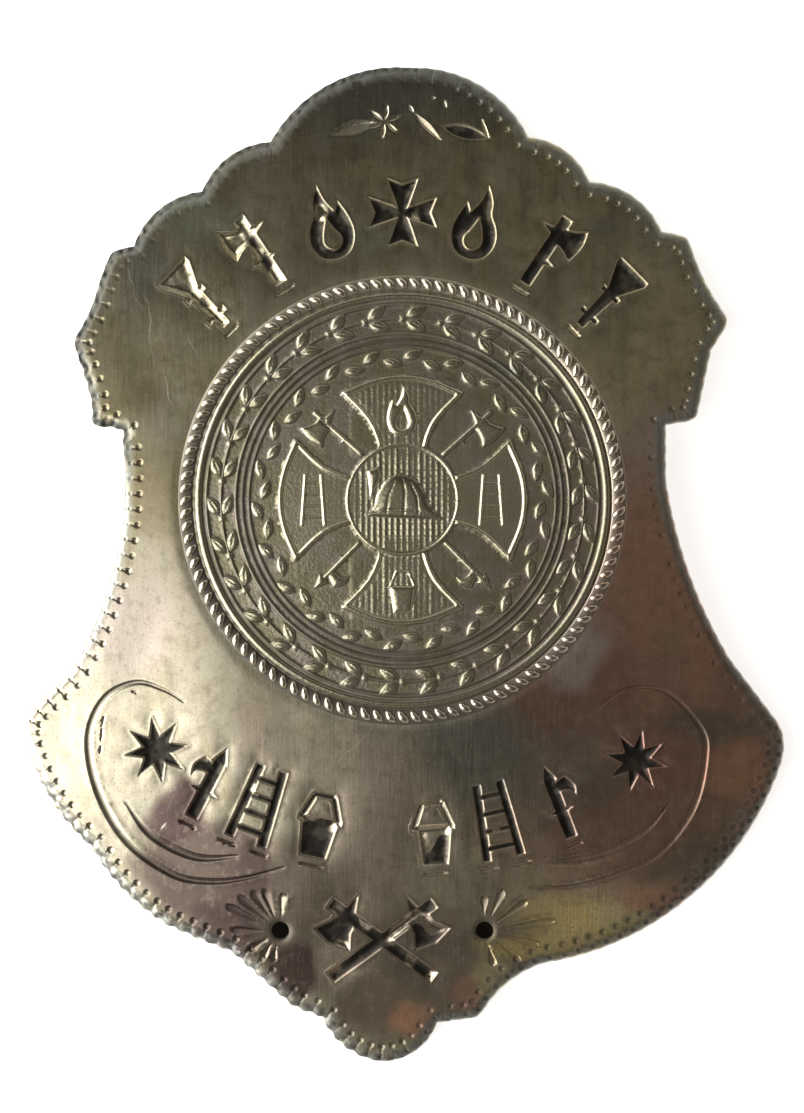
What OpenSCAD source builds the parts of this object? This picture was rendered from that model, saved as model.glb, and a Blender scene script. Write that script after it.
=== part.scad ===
/* [Sheet] */
// Width of the badge over its lower corners
badge_w = 48.5; // [46:0.5:54]
// Height of the badge from the top scallop to the tip
badge_h = 63.5; // [60:0.5:72]
// Thickness of the metal sheet
sheet_t = 1; // [0.8:0.1:1.4]
// How far the middle of the back stands above the table
dome_rise = 3; // [2.4:0.1:4]

/* [Seal] */
// Radius of the middle of the rope border
rope_r = 13.8; // [13:0.1:14.2]
// Width of the rope border
rope_w = 0.85; // [0.6:0.05:1]
// Number of strands seen along the rope
rope_strands = 108; // [90:2:120]
// Middle of the seal, to the right of the badge's middle
seal_across = -0.1; // [-0.5:0.1:0.5]
// Middle of the seal, above the badge's middle
seal_up = 4.1; // [3:0.1:5]
// Width of the smooth moulding inside the rope
moulding_w = 0.5; // [0.3:0.05:0.7]
// Gap between two rings
ring_gap = 0.16; // [0.1:0.02:0.24]
// Width of the ornament band
band_w = 1.85; // [1.5:0.05:2.2]
// Width of the double line between the band and the field
inner_rim_w = 0.85; // [0.7:0.05:1]
// Width of a ring line
line_w = 0.22; // [0.15:0.01:0.3]
// Height of the fine relief over the sheet
low_relief = 0.12; // [0.08:0.01:0.18]
// Height of the bold relief over the sheet
high_relief = 0.22; // [0.19:0.01:0.3]
// Number of leaf pairs in the ornament band
band_repeats = 30; // [24:1:34]

/* [Punched marks] */
// Height of a punched mark
mark_h = 5; // [4:0.1:5.5]
// Width of a mark's bold stroke
stroke_w = 0.95; // [0.6:0.05:1.1]
// Depth of the punched marks
mark_depth = 0.35; // [0.2:0.05:0.5]
// Gap between the rope border and the upper marks
upper_gap = 1.55; // [1.2:0.05:2]
// Angle between two upper marks
upper_pitch = 15.1; // [14.5:0.1:16]
// Radius of the arc through the lower marks
lower_arc_r = 26.7; // [25:0.1:28]
// Height of the lower marks' arc at its lowest, from the badge's middle
lower_arc_up = -16.9; // [-18:0.1:-16]
// Length of each of the crossed axes
axes_h = 8.2; // [7:0.1:9]
// How far the middle of the crossed axes lies below the holes
axes_drop = 0.6; // [0:0.1:1]

/* [Holes] */
// Diameter of each hole
hole_d = 1.14; // [0.9:0.02:1.4]
// Distance between the two holes
hole_pitch = 13; // [12:0.1:14]
// Middle of the pair of holes, to the right of the badge's middle
holes_across = -1.4; // [-2:0.1:0]
// Height of the holes, from the badge's middle
holes_up = -23.3; // [-24:0.1:-22]

/* [Engraving] */
// Widest part of an engraved line
cut_w = 0.42; // [0.3:0.02:0.6]
// Depth of the engraved lines
cut_depth = 0.12; // [0.08:0.01:0.2]

/* [Border] */
// Distance between two punched marks along the border
punch_pitch = 0.95; // [0.8:0.05:1.4]
// Length of a border mark
punch_l = 0.85; // [0.6:0.05:1.1]
// Width of a border mark
punch_w = 0.32; // [0.2:0.02:0.4]
// Distance from the edge to the middle of a border mark
punch_in = 0.7; // [0.6:0.05:1.2]

/* [Pin] */
// Distance between the middles of the hinge foot and the catch
pin_span = 23; // [20:0.5:24]
// Height of the pin, from the badge's middle
pin_up = 6; // [4:0.5:9]
// Diameter of the pin's stem
stem_d = 1.1; // [0.9:0.1:1.3]
// Width of a foot along the pin
foot_w = 3.2; // [2.5:0.1:4]
// Length of a foot across the pin
foot_l = 4.6; // [4:0.1:6]
// Gap between a foot and the back of the sheet
seat_gap = 0.1; // [0.05:0.05:0.2]
// Height of the underside of the stem over the table
stem_up = 0.35; // [0.2:0.05:0.6]
// Length of the stem's point beyond the catch
point_l = 1.6; // [1:0.1:2]

/* [Hidden] */

// Bows of the outline's arcs, as shares of their chords: scallops and lobes stand out most, skirts
// and side tips less; waists and the ears' flanks are hollow, the notch at the lower right more so
scallop = 0.15;
swell = 0.07;
hollow = -0.05;
deep_hollow = -0.1;
// Outline, clockwise from the top. Columns: across and up as shares of half the width and half the
// height, and the bow out of the arc to the next corner.
outline = [
    // top lobe, two scallops and the ear at the right
    [0.02, 1, scallop], [0.33, 0.86, scallop], [0.49, 0.77, scallop], [0.68, 0.67, 0],
    [0.75, 0.66, hollow], [0.86, 0.49, 0], [0.81, 0.43, 0], [0.77, 0.29, 0],
    // waist, side tip and skirt at the right, down to the notch
    [0.69, 0.28, 0], [0.69, 0.17, hollow], [0.86, -0.19, 0], [0.98, -0.31, swell],
    [1, -0.34, swell], [0.995, -0.4, swell], [0.75, -0.67, swell], [0.37, -0.8, deep_hollow],
    // bottom lobe
    [0.2, -0.91, 0], [0.09, -0.92, scallop], [-0.05, -1, scallop], [-0.215, -0.91, 0],
    // skirt, side tip and waist at the left
    [-0.29, -0.89, 0], [-0.45, -0.78, 0], [-0.61, -0.73, swell], [-0.82, -0.57, swell],
    [-0.99, -0.37, swell], [-1, -0.33, swell], [-0.99, -0.3, 0], [-0.87, -0.21, hollow],
    [-0.735, 0.1, 0], [-0.73, 0.19, 0], [-0.74, 0.27, 0],
    // the ear and two scallops at the left, up to the top lobe
    [-0.82, 0.28, 0], [-0.82, 0.33, 0], [-0.87, 0.45, hollow], [-0.8, 0.57, 0],
    [-0.77, 0.63, 0], [-0.71, 0.64, scallop], [-0.53, 0.75, scallop], [-0.35, 0.85, scallop]
];
// Length of one straight step along a curved edge
edge_step = 1;
// A bow below this share of its chord is drawn straight
straight_bow = 0.015;

// Point at share t of the arc from a to b, which bows to its left by a share of its chord
function on_arc(a, b, bow, t) =
    let (
        along = (b - a) / norm(b - a),
        out = [-along[1], along[0]],
        half = 2 * atan(2 * bow),
        r = norm(b - a) / (2 * sin(half)),
        turn = half * (2 * t - 1)
    )
    (a + b) / 2 - out * r * cos(half) + r * (sin(turn) * along + cos(turn) * out);

// Points of a closed run of arcs, given rows of [x, y, bow]
function run_points(rows) = [
    for (i = [0 : len(rows) - 1])
        let (
            a = [rows[i][0], rows[i][1]],
            next = rows[(i + 1) % len(rows)],
            b = [next[0], next[1]],
            bow = rows[i][2],
            steps = abs(bow) < straight_bow ? 1 : max(2, round(norm(b - a) / edge_step))
        )
        for (j = [0 : steps - 1])
            steps == 1 ? a : on_arc(a, b, bow, j / steps)
];

rough_edge = run_points([for (p = outline) [p[0] * badge_w / 2, p[1] * badge_h / 2, p[2]]]);
low = [min([for (p = rough_edge) p[0]]), min([for (p = rough_edge) p[1]])];
high = [max([for (p = rough_edge) p[0]]), max([for (p = rough_edge) p[1]])];
// The edge, centred on the origin and exactly as wide and as high as the badge
edge_points = [
    for (p = rough_edge) [
        (p[0] - (low[0] + high[0]) / 2) * badge_w / (high[0] - low[0]),
        (p[1] - (low[1] + high[1]) / 2) * badge_h / (high[1] - low[1])
    ]
];

// Radii of the rings, from the rope inwards
moulding_r = rope_r - rope_w / 2 - ring_gap - moulding_w / 2;
band_outer_r = moulding_r - moulding_w / 2 - ring_gap - line_w / 2;
band_inner_r = band_outer_r - band_w;
field_r = band_inner_r - inner_rim_w;
// Radius of the arc through the middles of the upper marks
upper_arc_r = rope_r + rope_w / 2 + upper_gap + mark_h / 2;

// The dome is part of a sphere: its hollow side meets the table at the furthest point of the edge
reach = max([for (p = edge_points) norm(p)]);
back_r = (dome_rise * dome_rise + reach * reach) / (2 * dome_rise);
front_r = back_r + sheet_t;
dome_base = dome_rise - back_r;
// Top and bottom of the tall blocks that the dome cuts
block_low = -1;
block_high = dome_rise + sheet_t + 1;
// Segments round the dome, round a ring and round a small circle
dome_fn = 256;
ring_fn = 96;
round_fn = 32;
// The seal stands near the dome's middle, so its blocks start inside the sheet below
seal_reach = rope_r + rope_w + norm([seal_across, seal_up]);
seal_low = dome_base + sqrt(front_r * front_r - seal_reach * seal_reach) - sheet_t / 2;

// A ball of the dome's centre, with its poles far from the sheet
module ball(r) {
    translate([0, 0, dome_base])
        rotate([90, 0, 0])
            sphere(r = r, $fn = dome_fn);
}

module ring(r, w) {
    difference() {
        circle(r = r + w / 2, $fn = ring_fn);
        circle(r = r - w / 2, $fn = ring_fn);
    }
}

// A straight stroke of width w from a to b
module bar(a, b, w) {
    translate(a)
        rotate(atan2(b[1] - a[1], b[0] - a[0]))
            translate([0, -w / 2])
                square([norm(b - a), w]);
}

// A four-sided point, long along x
module spark(long, wide) {
    polygon([[-long / 2, 0], [0, -wide / 2], [long / 2, 0], [0, wide / 2]]);
}

// Half of a leaf's edge, from its stalk to its tip. Columns: shares of its width and of its length.
leaf_edge = [[0, 0], [0.38, 0.25], [0.5, 0.5], [0.3, 0.8], [0, 1]];

// A leaf from the origin along y
module leaf(long, wide) {
    last = len(leaf_edge) - 1;
    polygon(concat(
        [for (i = [0 : last]) [leaf_edge[i][0] * wide, leaf_edge[i][1] * long]],
        [for (i = [last - 1 : -1 : 1]) [-leaf_edge[i][0] * wide, leaf_edge[i][1] * long]]
    ));
}

module star(r, points, waist) {
    polygon([
        for (i = [0 : 2 * points - 1])
            let (a = 90 + i * 180 / points, d = i % 2 == 0 ? r : r * waist)
            [d * cos(a), d * sin(a)]
    ]);
}

// Outlines of the marks. Columns: across and up from the mark's middle, as shares of its height.
axe_blade = [
    [0, 0.14], [0.15, 0.12], [0.3, 0.02], [0.37, 0.26], [0.33, 0.48], [0.15, 0.38], [0, 0.38]
];
axe_pick = [[0, 0.18], [0, 0.34], [-0.25, 0.3]];
flame_body = [
    [0, -0.5], [0.2, -0.44], [0.3, -0.24], [0.26, -0.02], [0.14, 0.14], [0.14, 0.3], [0.02, 0.5],
    [-0.02, 0.28], [-0.12, 0.12], [-0.19, 0.24], [-0.28, 0.02], [-0.31, -0.22], [-0.2, -0.44]
];
flame_heart = [
    [0, -0.38], [0.12, -0.28], [0.1, -0.14], [0.01, 0.06], [-0.05, -0.1], [-0.13, -0.22], [-0.1, -0.32]
];
cross_quarter = [[0.04, -0.02], [0.2, 0.44], [0, 0.36], [-0.2, 0.44], [-0.04, -0.02]];
trumpet_body = [
    [-0.06, -0.5], [0.06, -0.5], [0.09, 0.1], [0.25, 0.42], [0.25, 0.5],
    [-0.25, 0.5], [-0.25, 0.42], [-0.09, 0.1]
];
hook_tip = [[-0.1, 0.28], [0, 0.5], [0.1, 0.28]];
hook_claw = [[0, 0.22], [0.2, 0.28], [0.3, 0.12], [0.25, -0.02], [0.2, 0.1], [0, 0.1]];
bucket_body = [[-0.24, 0.06], [0.24, 0.06], [0.17, -0.46], [-0.17, -0.46]];

// Strokes of the marks. Columns: from across, from up, to across and to up, as shares of the height.
axe_shaft = [[-0.05, -0.5, 0.01, 0.5]];
hook_shaft = [[0, -0.5, 0, 0.32]];
trumpet_bands = [[-0.15, -0.32, 0.15, -0.32], [-0.15, 0.06, 0.15, 0.06]];
ladder_rails = [[-0.22, -0.5, -0.15, 0.5], [0.22, -0.5, 0.15, 0.5]];
ladder_rungs = [for (up = [-0.34, -0.12, 0.1, 0.32]) [-0.19, up, 0.19, up]];
bucket_rim = [[-0.28, 0.03, 0.28, 0.03]];
bucket_handle = [[-0.24, 0.03, -0.12, 0.34], [0.24, 0.03, 0.12, 0.34], [-0.14, 0.34, 0.14, 0.34]];

// Widths of the thinner strokes as shares of the bold one
heavy = 0.88;
middling = 0.62;
fine = 0.42;
// A tick across a shaft: its height as a share of the mark's, its length in bold strokes
tick_up = -0.13;
tick_l = 1.9;
// The star mark's radius as a share of the mark's height, its points and its waist
star_size = 0.42;
star_points = 8;
star_waist = 0.45;

module strokes(rows, h, w) {
    for (row = rows)
        bar([row[0], row[1]] * h, [row[2], row[3]] * h, w);
}

module tick(h, s) {
    translate([0, tick_up * h])
        spark(s * tick_l, s * middling);
}

module axe_head(h) {
    polygon(axe_blade * h);
    polygon(axe_pick * h);
}

// Each mark stands in a cell of height h round the origin, and s is the width of a bold stroke
module mark(kind, h, s) {
    if (kind == "axe") {
        strokes(axe_shaft, h, s * heavy);
        axe_head(h);
        tick(h, s);
    }
    if (kind == "ladder") {
        strokes(ladder_rails, h, s * middling);
        strokes(ladder_rungs, h, s * fine);
    }
    if (kind == "flame")
        difference() {
            polygon(flame_body * h);
            polygon(flame_heart * h);
        }
    if (kind == "cross")
        for (a = [0 : 90 : 270])
            rotate(a)
                polygon(cross_quarter * h);
    if (kind == "trumpet") {
        polygon(trumpet_body * h);
        strokes(trumpet_bands, h, s * fine);
    }
    if (kind == "hook") {
        strokes(hook_shaft, h, s * heavy);
        polygon(hook_tip * h);
        polygon(hook_claw * h);
        tick(h, s);
    }
    if (kind == "bucket") {
        polygon(bucket_body * h);
        strokes(bucket_rim, h, s * fine);
        strokes(bucket_handle, h, s * fine);
    }
    if (kind == "star")
        star(star_size * h, star_points, star_waist);
}

// Upper row from its middle outwards: each mark but the first stands on both sides
upper_marks = ["cross", "flame", "axe", "trumpet"];
// Lower row from left to right, with the angle of each mark from straight down
lower_marks = [
    ["star", -36], ["hook", -27.6], ["ladder", -20.2], ["bucket", -11.6],
    ["bucket", 3.9], ["ladder", 12.6], ["hook", 21.4], ["star", 33.5]
];

module upper_row() {
    translate([seal_across, seal_up])
        for (i = [0 : len(upper_marks) - 1])
            for (side = i == 0 ? [1] : [-1, 1])
                mirror([side < 0 ? 1 : 0, 0])
                    rotate(-i * upper_pitch)
                        translate([0, upper_arc_r])
                            mark(upper_marks[i], mark_h, stroke_w);
}

module lower_row() {
    translate([0, lower_arc_up + lower_arc_r])
        for (row = lower_marks)
            rotate(row[1])
                translate([0, -lower_arc_r])
                    mirror([row[1] < 0 ? 1 : 0, 0])
                        mark(row[0], mark_h, stroke_w);
}

// Slant of each crossed axe from upright, and its head's size and lift as shares of its length
axes_slant = 54;
axes_head = 0.72;
axes_lift = 0.14;

module crossed_axes() {
    translate([holes_across, holes_up - axes_drop])
        for (side = [-1, 1])
            mirror([side < 0 ? 1 : 0, 0])
                rotate(-axes_slant) {
                    bar([0, -axes_h / 2], [0, axes_h / 2], stroke_w * heavy);
                    translate([0, axes_h * axes_lift])
                        axe_head(axes_h * axes_head);
                }
}

// Engraved scrolls. Columns: across and up as shares of half the width and half the height.
scrolls = [
    [[-0.579, -0.273], [-0.703, -0.235], [-0.827, -0.346], [-0.803, -0.453],
        [-0.727, -0.554], [-0.609, -0.620], [-0.515, -0.637], [-0.317, -0.610]],
    [[-0.729, -0.477], [-0.663, -0.542], [-0.547, -0.586], [-0.441, -0.584]],
    [[0.510, -0.286], [0.584, -0.249], [0.686, -0.255], [0.779, -0.328], [0.790, -0.393],
        [0.756, -0.494], [0.663, -0.584], [0.544, -0.625], [0.436, -0.645], [0.328, -0.647]],
    [[0.692, -0.482], [0.639, -0.530], [0.560, -0.566], [0.483, -0.586], [0.378, -0.596]]
];
// Steps between two chosen points of a scroll, and the width of its ends
scroll_steps = 3;
scroll_end = 0.2;

// A smooth curve through the chosen points
function smooth(p) = concat(
    [
        for (i = [0 : len(p) - 2])
            let (
                a = p[max(i - 1, 0)],
                b = p[i],
                c = p[i + 1],
                d = p[min(i + 2, len(p) - 1)]
            )
            for (j = [0 : scroll_steps - 1])
                let (t = j / scroll_steps)
                (2 * b + (c - a) * t + (2 * a - 5 * b + 4 * c - d) * t * t
                    + (3 * b - a - 3 * c + d) * t * t * t) / 2
    ],
    [p[len(p) - 1]]
);

// A stroke along a curve, wide in the middle and fine at its ends
module swell(p, w) {
    last = len(p) - 1;
    side = [
        for (i = [0 : last])
            let (
                along = p[min(i + 1, last)] - p[max(i - 1, 0)],
                half = w / 2 * (scroll_end + (1 - scroll_end) * sin(180 * i / last))
            )
            half * [-along[1], along[0]] / norm(along)
    ];
    polygon(concat(
        [for (i = [0 : last]) p[i] + side[i]],
        [for (i = [last : -1 : 0]) p[i] - side[i]]
    ));
}

module scroll_work() {
    for (line = scrolls)
        swell(smooth([for (p = line) [p[0] * badge_w / 2, p[1] * badge_h / 2]]), cut_w);
}

// Bright-cut rays beside the left and the right hole. Columns: angle, and reach in hole diameters.
left_fan = [
    [84, 2.0], [110, 2.4], [125, 2.7], [140, 3.0], [155, 3.3],
    [180, 2.7], [212, 2.0], [236, 1.8], [256, 1.7]
];
right_fan = [[90, 1.9], [65, 2.5], [35, 2.9], [8, 4.0], [-15, 3.2], [-40, 2.6], [-75, 2.0]];
// Where a ray starts and its half width, in hole diameters, and where along it it is widest
ray_start = 0.95;
ray_half = 0.2;
ray_wide = 0.85;

module fan(rays) {
    for (ray = rays)
        rotate(ray[0])
            polygon([
                [ray_start, 0], [ray[1] * ray_wide, ray_half],
                [ray[1], 0], [ray[1] * ray_wide, -ray_half]
            ] * hole_d);
}

module fans() {
    translate([holes_across - hole_pitch / 2, holes_up])
        fan(left_fan);
    translate([holes_across + hole_pitch / 2, holes_up])
        fan(right_fan);
}

// Distance along the edge to each of its points
edge_run = [
    for (i = 0, run = 0; i <= len(edge_points); run = run + edge_gap(i), i = i + 1) run
];

function edge_gap(i) =
    norm(edge_points[(i + 1) % len(edge_points)] - edge_points[i % len(edge_points)]);

// Point of the edge at a distance along it
function edge_at(run) = [
    for (axis = [0, 1])
        lookup(run, [
            for (i = [0 : len(edge_points)])
                [edge_run[i], edge_points[i % len(edge_points)][axis]]
        ])
];

// Where the chord over a mark's surroundings is shorter than this share of the way round, the edge
// has a corner
corner_share = 0.86;

// Small punched marks that stand square to the edge, all round the badge but at its sharp points
module border() {
    whole = edge_run[len(edge_points)];
    count = round(whole / punch_pitch);
    window = punch_in + punch_l / 2;
    for (i = [0 : count - 1]) {
        run = (i + 0.5) * whole / count;
        here = edge_at(run);
        ahead = edge_at((run + window) % whole);
        behind = edge_at((run - window + whole) % whole);
        chord = norm(ahead - behind);
        along = (ahead - behind) / chord;
        out = [-along[1], along[0]];
        if (chord > 2 * window * corner_share || (here - (ahead + behind) / 2) * out < 0)
            translate(here - punch_in * out)
                rotate(atan2(out[1], out[0]))
                    spark(punch_l, punch_w);
    }
}

// The little spray under the top scallop. Its middle is a share of half the height.
spray_up = 0.885;
// Columns: across, up, angle and length, all but the angle in bold strokes
spray_leaves = [[-1.9, 0, 104, 3], [2.6, -0.3, -104, 3.4], [0.5, 0.9, -136, 3.2]];
spray_leaf_w = 0.8;
// The small star beside the leaves: across, up and radius in bold strokes
spray_star = [-1.3, 0.1, 1.1];
spray_star_points = 6;
spray_star_waist = 0.3;

module spray() {
    translate([0, spray_up * badge_h / 2]) {
        for (row = spray_leaves)
            translate([row[0], row[1]] * stroke_w)
                rotate(row[2])
                    leaf(row[3] * stroke_w, spray_leaf_w * stroke_w);
        translate([spray_star[0], spray_star[1]] * stroke_w)
            star(spray_star[2] * stroke_w, spray_star_points, spray_star_waist);
    }
}

// Slant of a strand against the rope's own direction, and its size as shares of the pitch and width
strand_slant = -48;
strand_thick = 0.66;
strand_long = 1.15;

module rope() {
    pitch = 2 * PI * rope_r / rope_strands;
    for (i = [0 : rope_strands - 1])
        rotate(i * 360 / rope_strands)
            translate([0, rope_r])
                rotate(strand_slant)
                    strand(rope_w * strand_long, pitch * strand_thick);
}

// Outline of a strand. Columns: shares of its length and of its thickness.
strand_edge = [[-0.5, -0.15], [-0.3, -0.5], [0.4, -0.4], [0.5, 0.15], [0.3, 0.5], [-0.4, 0.4]];

module strand(long, thick) {
    polygon([for (p = strand_edge) [p[0] * long, p[1] * thick]]);
}

// A leaf of the band: its splay from the band's own direction, and its start, length and width, and
// the berry's size, as shares of the band's width
band_splay = 28;
band_leaf_start = 0.12;
band_leaf_l = 0.8;
band_leaf_w = 0.42;
band_berry = 0.26;

// Leaf pairs and berries that run round the band
module band_ornament() {
    for (i = [0 : band_repeats - 1])
        rotate(i * 360 / band_repeats)
            translate([0, (band_outer_r + band_inner_r) / 2]) {
                for (side = [-1, 1])
                    rotate(-90 + side * band_splay)
                        translate([0, band_w * band_leaf_start])
                            leaf(band_w * band_leaf_l, band_w * band_leaf_w);
                circle(d = band_w * band_berry, $fn = 8);
            }
}

// One flared arm of the field's cross. Columns: across and up as shares of the field's radius.
cross_arm = [
    [0.13, 0.24], [0.2, 0.5], [0.4, 0.7], [0.2, 0.79], [0, 0.82],
    [-0.2, 0.79], [-0.4, 0.7], [-0.2, 0.5], [-0.13, 0.24]
];
// Size of the arm inside its rim
cross_rim = 0.86;
// Places and sizes in the field, as shares of its radius: the middle of an arm, the round boss, the
// emblem on an arm, the tools between the arms and the helmet
arm_mid = 0.58;
boss = 0.37;
emblem_h = 0.34;
tool_mid = 0.6;
tool_h = 0.43;
helmet_w = 0.52;
// Bold stroke of the emblems and tools, in ring lines
emblem_stroke = 1.6;

module arm_outline() {
    polygon(cross_arm * field_r);
}

module boss_disc() {
    circle(r = field_r * boss, $fn = ring_fn);
}

module field_low() {
    for (a = [0 : 90 : 270])
        rotate(a)
            arm_outline();
    boss_disc();
    wreath();
}

// The wreath's leaves: their number, their splay, and their place, length and width as shares of the
// field's radius
wreath_leaves = 44;
wreath_splay = 22;
wreath_mid = 0.92;
wreath_leaf_l = 0.14;
wreath_leaf_w = 0.07;

// Small leaves that run round inside the field's ring
module wreath() {
    for (i = [0 : wreath_leaves - 1])
        rotate(i * 360 / wreath_leaves)
            translate([0, field_r * wreath_mid])
                rotate(-90 + (i % 2 == 0 ? 1 : -1) * wreath_splay)
                    leaf(field_r * wreath_leaf_l, field_r * wreath_leaf_w);
}

// A helmet seen from its side. Columns: across and up as shares of its width.
helmet_shell = [
    [-0.5, -0.2], [-0.36, -0.1], [-0.33, 0.06], [-0.22, 0.26], [-0.02, 0.34], [0.18, 0.26],
    [0.29, 0.08], [0.33, -0.08], [0.54, -0.26], [0.3, -0.24], [-0.2, -0.22]
];
helmet_front = [[-0.4, 0], [-0.44, 0.36], [-0.3, 0.42], [-0.27, 0.3]];

module helmet(w) {
    polygon(helmet_shell * w);
    polygon(helmet_front * w);
}

module arm_rim() {
    difference() {
        arm_outline();
        translate([0, field_r * arm_mid])
            scale(cross_rim)
                translate([0, -field_r * arm_mid])
                    arm_outline();
        boss_disc();
    }
}

module field_high() {
    for (a = [0 : 90 : 270])
        rotate(a)
            arm_rim();
    ring(field_r * boss - line_w / 2, line_w);
    helmet(field_r * helmet_w);
    // Columns: kind, direction from straight up, size, and whether it turns with its direction
    for (row = [
        ["flame", 0, emblem_h, false], ["ladder", 90, emblem_h, false], ["bucket", 180, emblem_h, false],
        ["ladder", 270, emblem_h, false], ["axe", 45, tool_h, true], ["axe", -45, tool_h, true],
        ["hook", 135, tool_h, true], ["hook", -135, tool_h, true]
    ])
        rotate(row[1])
            translate([0, field_r * (row[3] ? tool_mid : arm_mid)])
                rotate(row[3] ? 0 : -row[1])
                    mirror([row[1] > 0 ? 1 : 0, 0])
                        mark(row[0], field_r * row[2], line_w * emblem_stroke);
}

module seal_low_art() {
    translate([seal_across, seal_up]) {
        band_ornament();
        field_low();
    }
}

module seal_high_art() {
    translate([seal_across, seal_up]) {
        rope();
        ring(moulding_r, moulding_w);
        for (r = [band_outer_r, band_inner_r, band_inner_r - 2 * line_w, field_r])
            ring(r, line_w);
        field_high();
    }
}

// What stands over the front of the sheet by a height
module raised(height) {
    intersection() {
        translate([0, 0, seal_low])
            linear_extrude(block_high - seal_low)
                children();
        ball(front_r + height);
    }
}

// What is cut into the front of the sheet to a depth
module sunk(depth) {
    difference() {
        linear_extrude(block_high)
            children();
        ball(front_r - depth);
    }
}

module badge_plate() {
    color([0.66, 0.62, 0.5])
        difference() {
            union() {
                intersection() {
                    translate([0, 0, block_low])
                        linear_extrude(block_high - block_low)
                            polygon(edge_points);
                    ball(front_r);
                }
                raised(low_relief)
                    seal_low_art();
                raised(high_relief)
                    seal_high_art();
            }
            ball(back_r);
            sunk(mark_depth) {
                upper_row();
                lower_row();
                crossed_axes();
            }
            sunk(cut_depth) {
                scroll_work();
                fans();
                spray();
                border();
            }
            for (side = [-1, 1])
                translate([holes_across + side * hole_pitch / 2, holes_up, block_low])
                    cylinder(d = hole_d, h = block_high - block_low, $fn = round_fn);
        }
}

// Width of the point's tip as a share of the stem's
point_blunt = 0.3;

// The hinge foot, the stem and the catch on the back, as one plain piece. Each foot reaches from
// the table to just under the hollow back.
module pin_back() {
    color([0.62, 0.6, 0.52])
        intersection() {
            translate([0, pin_up, 0]) {
                for (side = [-1, 1])
                    translate([side * pin_span / 2 - foot_w / 2, -foot_l / 2, 0])
                        cube([foot_w, foot_l, block_high]);
                stem();
            }
            ball(back_r - seat_gap);
        }
}

module stem() {
    translate([-pin_span / 2, 0, stem_up + stem_d / 2])
        rotate([0, 90, 0])
            cylinder(d = stem_d, h = pin_span + foot_w / 2, $fn = round_fn);
    translate([pin_span / 2 + foot_w / 2, 0, stem_up + stem_d / 2])
        rotate([0, 90, 0])
            cylinder(d1 = stem_d, d2 = stem_d * point_blunt, h = point_l, $fn = round_fn);
}

badge_plate();
pin_back();
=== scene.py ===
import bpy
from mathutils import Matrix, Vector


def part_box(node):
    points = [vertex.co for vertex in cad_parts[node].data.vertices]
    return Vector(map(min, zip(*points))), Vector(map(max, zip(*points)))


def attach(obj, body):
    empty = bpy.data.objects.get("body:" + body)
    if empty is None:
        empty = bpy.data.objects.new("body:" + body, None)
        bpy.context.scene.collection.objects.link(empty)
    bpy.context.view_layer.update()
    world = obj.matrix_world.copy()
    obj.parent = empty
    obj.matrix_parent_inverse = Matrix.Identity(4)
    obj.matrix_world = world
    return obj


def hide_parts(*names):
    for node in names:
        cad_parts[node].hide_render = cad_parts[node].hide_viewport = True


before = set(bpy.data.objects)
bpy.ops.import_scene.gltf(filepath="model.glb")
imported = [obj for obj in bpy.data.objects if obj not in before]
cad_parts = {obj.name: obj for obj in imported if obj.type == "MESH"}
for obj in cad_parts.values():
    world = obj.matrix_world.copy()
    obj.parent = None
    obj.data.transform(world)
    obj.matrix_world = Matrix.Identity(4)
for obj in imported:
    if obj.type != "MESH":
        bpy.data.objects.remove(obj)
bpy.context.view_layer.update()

import math

import bpy
import numpy as np
from mathutils import Vector
from mathutils.geometry import delaunay_2d_cdt
from mathutils.kdtree import KDTree

print("frame loaded")

# Lengths below are in millimetres from the badge's middle, and meshes are made in metres
metre = 0.001
bpy.ops.object.select_all(action="DESELECT")

# The camera, straight above as in the photograph
shot = {"height": 460, "across": -0.13, "up": 0.51, "frameHeight": 70.7, "focusPlane": 3}

cameraData = bpy.data.cameras.new("camera")
cameraData.lens = cameraData.sensor_width * (shot["height"] - shot["focusPlane"]) / shot["frameHeight"]
cameraData.clip_start = 0.01
cameraData.clip_end = 10
camera = bpy.data.objects.new("camera", cameraData)
camera.location = Vector((shot["across"], shot["up"], shot["height"])) * metre
bpy.context.scene.collection.objects.link(camera)
bpy.context.scene.camera = camera

# The sheet's outline and dome

# Bows of the outline's arcs, as shares of their chords: scallops and lobes stand out most, skirts
# and side tips less; waists and the ears' flanks are hollow, the notch at the lower right more so
scallopBow = 0.15
swellBow = 0.07
hollowBow = -0.05
deepBow = -0.1
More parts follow.
